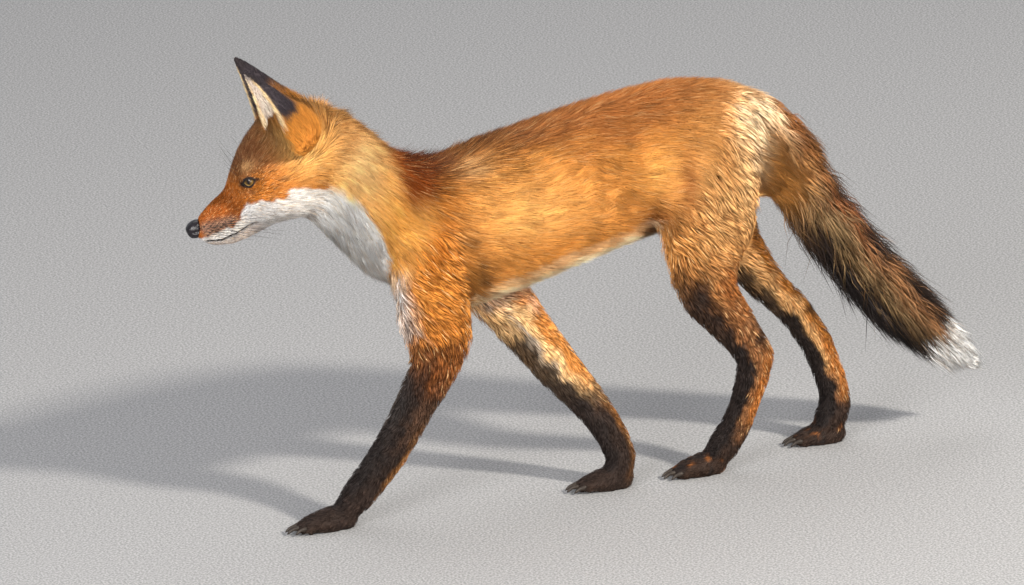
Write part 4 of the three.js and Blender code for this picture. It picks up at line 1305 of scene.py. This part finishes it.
# ---- Whiskers ------------------------------------------------------------------------------------
# Stiff black hairs, swept back. They stand in rows on the upper lip, and singly on the brow, the chin
# and the cheek, each rooted in the skin and drawn out to a point.
WHISKER_STEPS = 7
LIP_ROWS, LIP_PLACES = 4, 5
LIP_THICKNESS, LONE_THICKNESS = 0.3, 0.18
#    rearward of the nose's tip, above it, and the whisker's length
LONE_WHISKERS = [(74, 26, 34), (77, 29, 30), (72, 23, 26), (88, 31, 22), (60, -34, 22), (98, -30, 24)]
whisker_finish = Finish("whisker", Roughness=0.35)
shade = whisker_finish.node("TexNoise", Vector=whisker_finish.node("TexCoord", output=3), Scale=90.0)
whisker_finish.set("Base Color", whisker_finish.mix(shade, (0.012, 0.010, 0.010, 1), (0.05, 0.04, 0.035, 1)))
source = np.random.default_rng(77)
bm = bmesh.new()


def whisker(start, course, bend, length, thick):
    """One tapering hair, drawn out of a small triangle step by step."""
    ahead = unit(course)
    beside = unit(np.cross(ahead, (0.13, 0.21, 0.97)))
    beyond = np.cross(ahead, beside)
    ring = [bm.verts.new(metres(start + thick * (beside * math.cos(turn) + beyond * math.sin(turn))))
            for turn in (0, 2 * math.pi / 3, 4 * math.pi / 3)]
    edges = list(bm.faces.new(ring).edges)
    for step in range(WHISKER_STEPS):
        ahead = unit(ahead + bend / WHISKER_STEPS)
        drawn = bmesh.ops.extrude_edge_only(bm, edges=edges)["geom"]
        moved = [item for item in drawn if isinstance(item, bmesh.types.BMVert)]
        edges = [item for item in drawn if isinstance(item, bmesh.types.BMEdge)
                 and item.verts[0] in moved and item.verts[1] in moved]
        bmesh.ops.translate(bm, vec=Vector(ahead * length / WHISKER_STEPS * MM), verts=moved)
        middle = sum((vert.co for vert in moved), Vector()) / 3
        for vert in moved:
            vert.co = middle + (vert.co - middle) * (0.86 if step < WHISKER_STEPS - 1 else 0.3)
    bmesh.ops.contextual_create(bm, geom=edges)


def rooted_at(back, above, side, reach):
    """The place on the skin straight in from the side of the head, or None beside it."""
    return hide.tree.ray_cast(Vector(in_head(back, side * reach, above)), Vector(-side * HEAD_RIGHT))[0]


for side in (-1, 1):
    for row in range(LIP_ROWS):
        for place_in_row in range(LIP_PLACES):
            back = 14 + place_in_row * 5.5 + row * 1.5
            above = -6 - row * 3.6 - place_in_row * 0.9
            foot = rooted_at(back, above, side, 40)
            if foot is None:
                continue
            course = HEAD_BACK * 0.85 + side * HEAD_RIGHT * 0.55 - HEAD_UP * (0.25 + 0.18 * row)
            course = course + source.normal(0, 0.07, 3)
            bend = HEAD_BACK * 0.5 - HEAD_UP * 0.25
            length = (24 + 8 * place_in_row) * source.uniform(0.8, 1.15)
            whisker(np.array(foot), course, bend, length, LIP_THICKNESS)
    for back, above, length in LONE_WHISKERS:
        foot = rooted_at(back, above, side, 60)
        if foot is None:
            continue
        upward, forward = (0.75, 0.35) if above > 0 else (-0.6, -0.4)
        course = HEAD_UP * upward + side * HEAD_RIGHT * 0.3 - HEAD_BACK * forward
        course = course + source.normal(0, 0.06, 3)
        whisker(np.array(foot), course, HEAD_BACK * 0.5, length, LONE_THICKNESS)
for polygon in bm.faces:
    polygon.smooth = True
bmesh.ops.recalc_face_normals(bm, faces=bm.faces)
whisker_mesh = bpy.data.meshes.new("whiskers")
bm.to_mesh(whisker_mesh)
piece_from("whiskers", whisker_mesh, whisker_finish)


# ---- The studio ----------------------------------------------------------------------------------
# A plain floor of fine grey chips in a pale room. One warm lamp stands high beyond the tail on the
# camera's side and throws the shadows. Softer ones fill in from the front, from low down and from above.
FLOOR_HALF = 14
ROOM_LIGHT = 0.58
LAMPS_AIM = Vector((0, 0, 0.25))
#    name, place, size, power, colour
LAMPS = [
    ("sun_side", (2.3, -3.0, 2.8), 0.35, 330, (1.0, 0.94, 0.84)),
    ("front_fill", (-3.0, -2.9, 1.8), 1.8, 175, (1.0, 0.98, 0.97)),
    ("floor_bounce", (-0.9, -2.6, 0.25), 1.6, 85, (1.0, 0.96, 0.92)),
    ("top_fill", (0.2, 1.6, 3.6), 2.6, 44, (1.0, 0.97, 0.93)),
]
floor_mesh = bpy.data.meshes.new("studio_floor")
bm = bmesh.new()
bmesh.ops.create_grid(bm, x_segments=1, y_segments=1, size=FLOOR_HALF)
bm.to_mesh(floor_mesh)
floor = bpy.data.objects.new("studio_floor", floor_mesh)
bpy.context.scene.collection.objects.link(floor)
floor_finish = Finish("grey_chips", Roughness=0.9)
speck = floor_finish.node("TexNoise", Vector=floor_finish.node("TexCoord", output=3), Scale=420.0, Detail=3.0)
chips = floor_finish.node("MapRange", {"interpolation_type": "SMOOTHSTEP"}, i0=speck, i1=0.36, i2=0.64)
floor_finish.set("Base Color", floor_finish.mix(chips, (0.19, 0.19, 0.195, 1), (0.33, 0.33, 0.33, 1)))
floor.data.materials.append(floor_finish.material)

world = bpy.data.worlds.new("room")
world.use_nodes = True
world.node_tree.nodes["Background"].inputs["Color"].default_value = (0.90, 0.93, 1.0, 1)
world.node_tree.nodes["Background"].inputs["Strength"].default_value = ROOM_LIGHT
bpy.context.scene.world = world

for name, where, size, power, colour in LAMPS:
    lamp = bpy.data.lights.new(name, "AREA")
    lamp.size, lamp.energy, lamp.color = size, power, colour
    stand = bpy.data.objects.new(name, lamp)
    stand.location = where
    stand.rotation_euler = (LAMPS_AIM - Vector(where)).to_track_quat("-Z", "Y").to_euler()
    bpy.context.scene.collection.objects.link(stand)
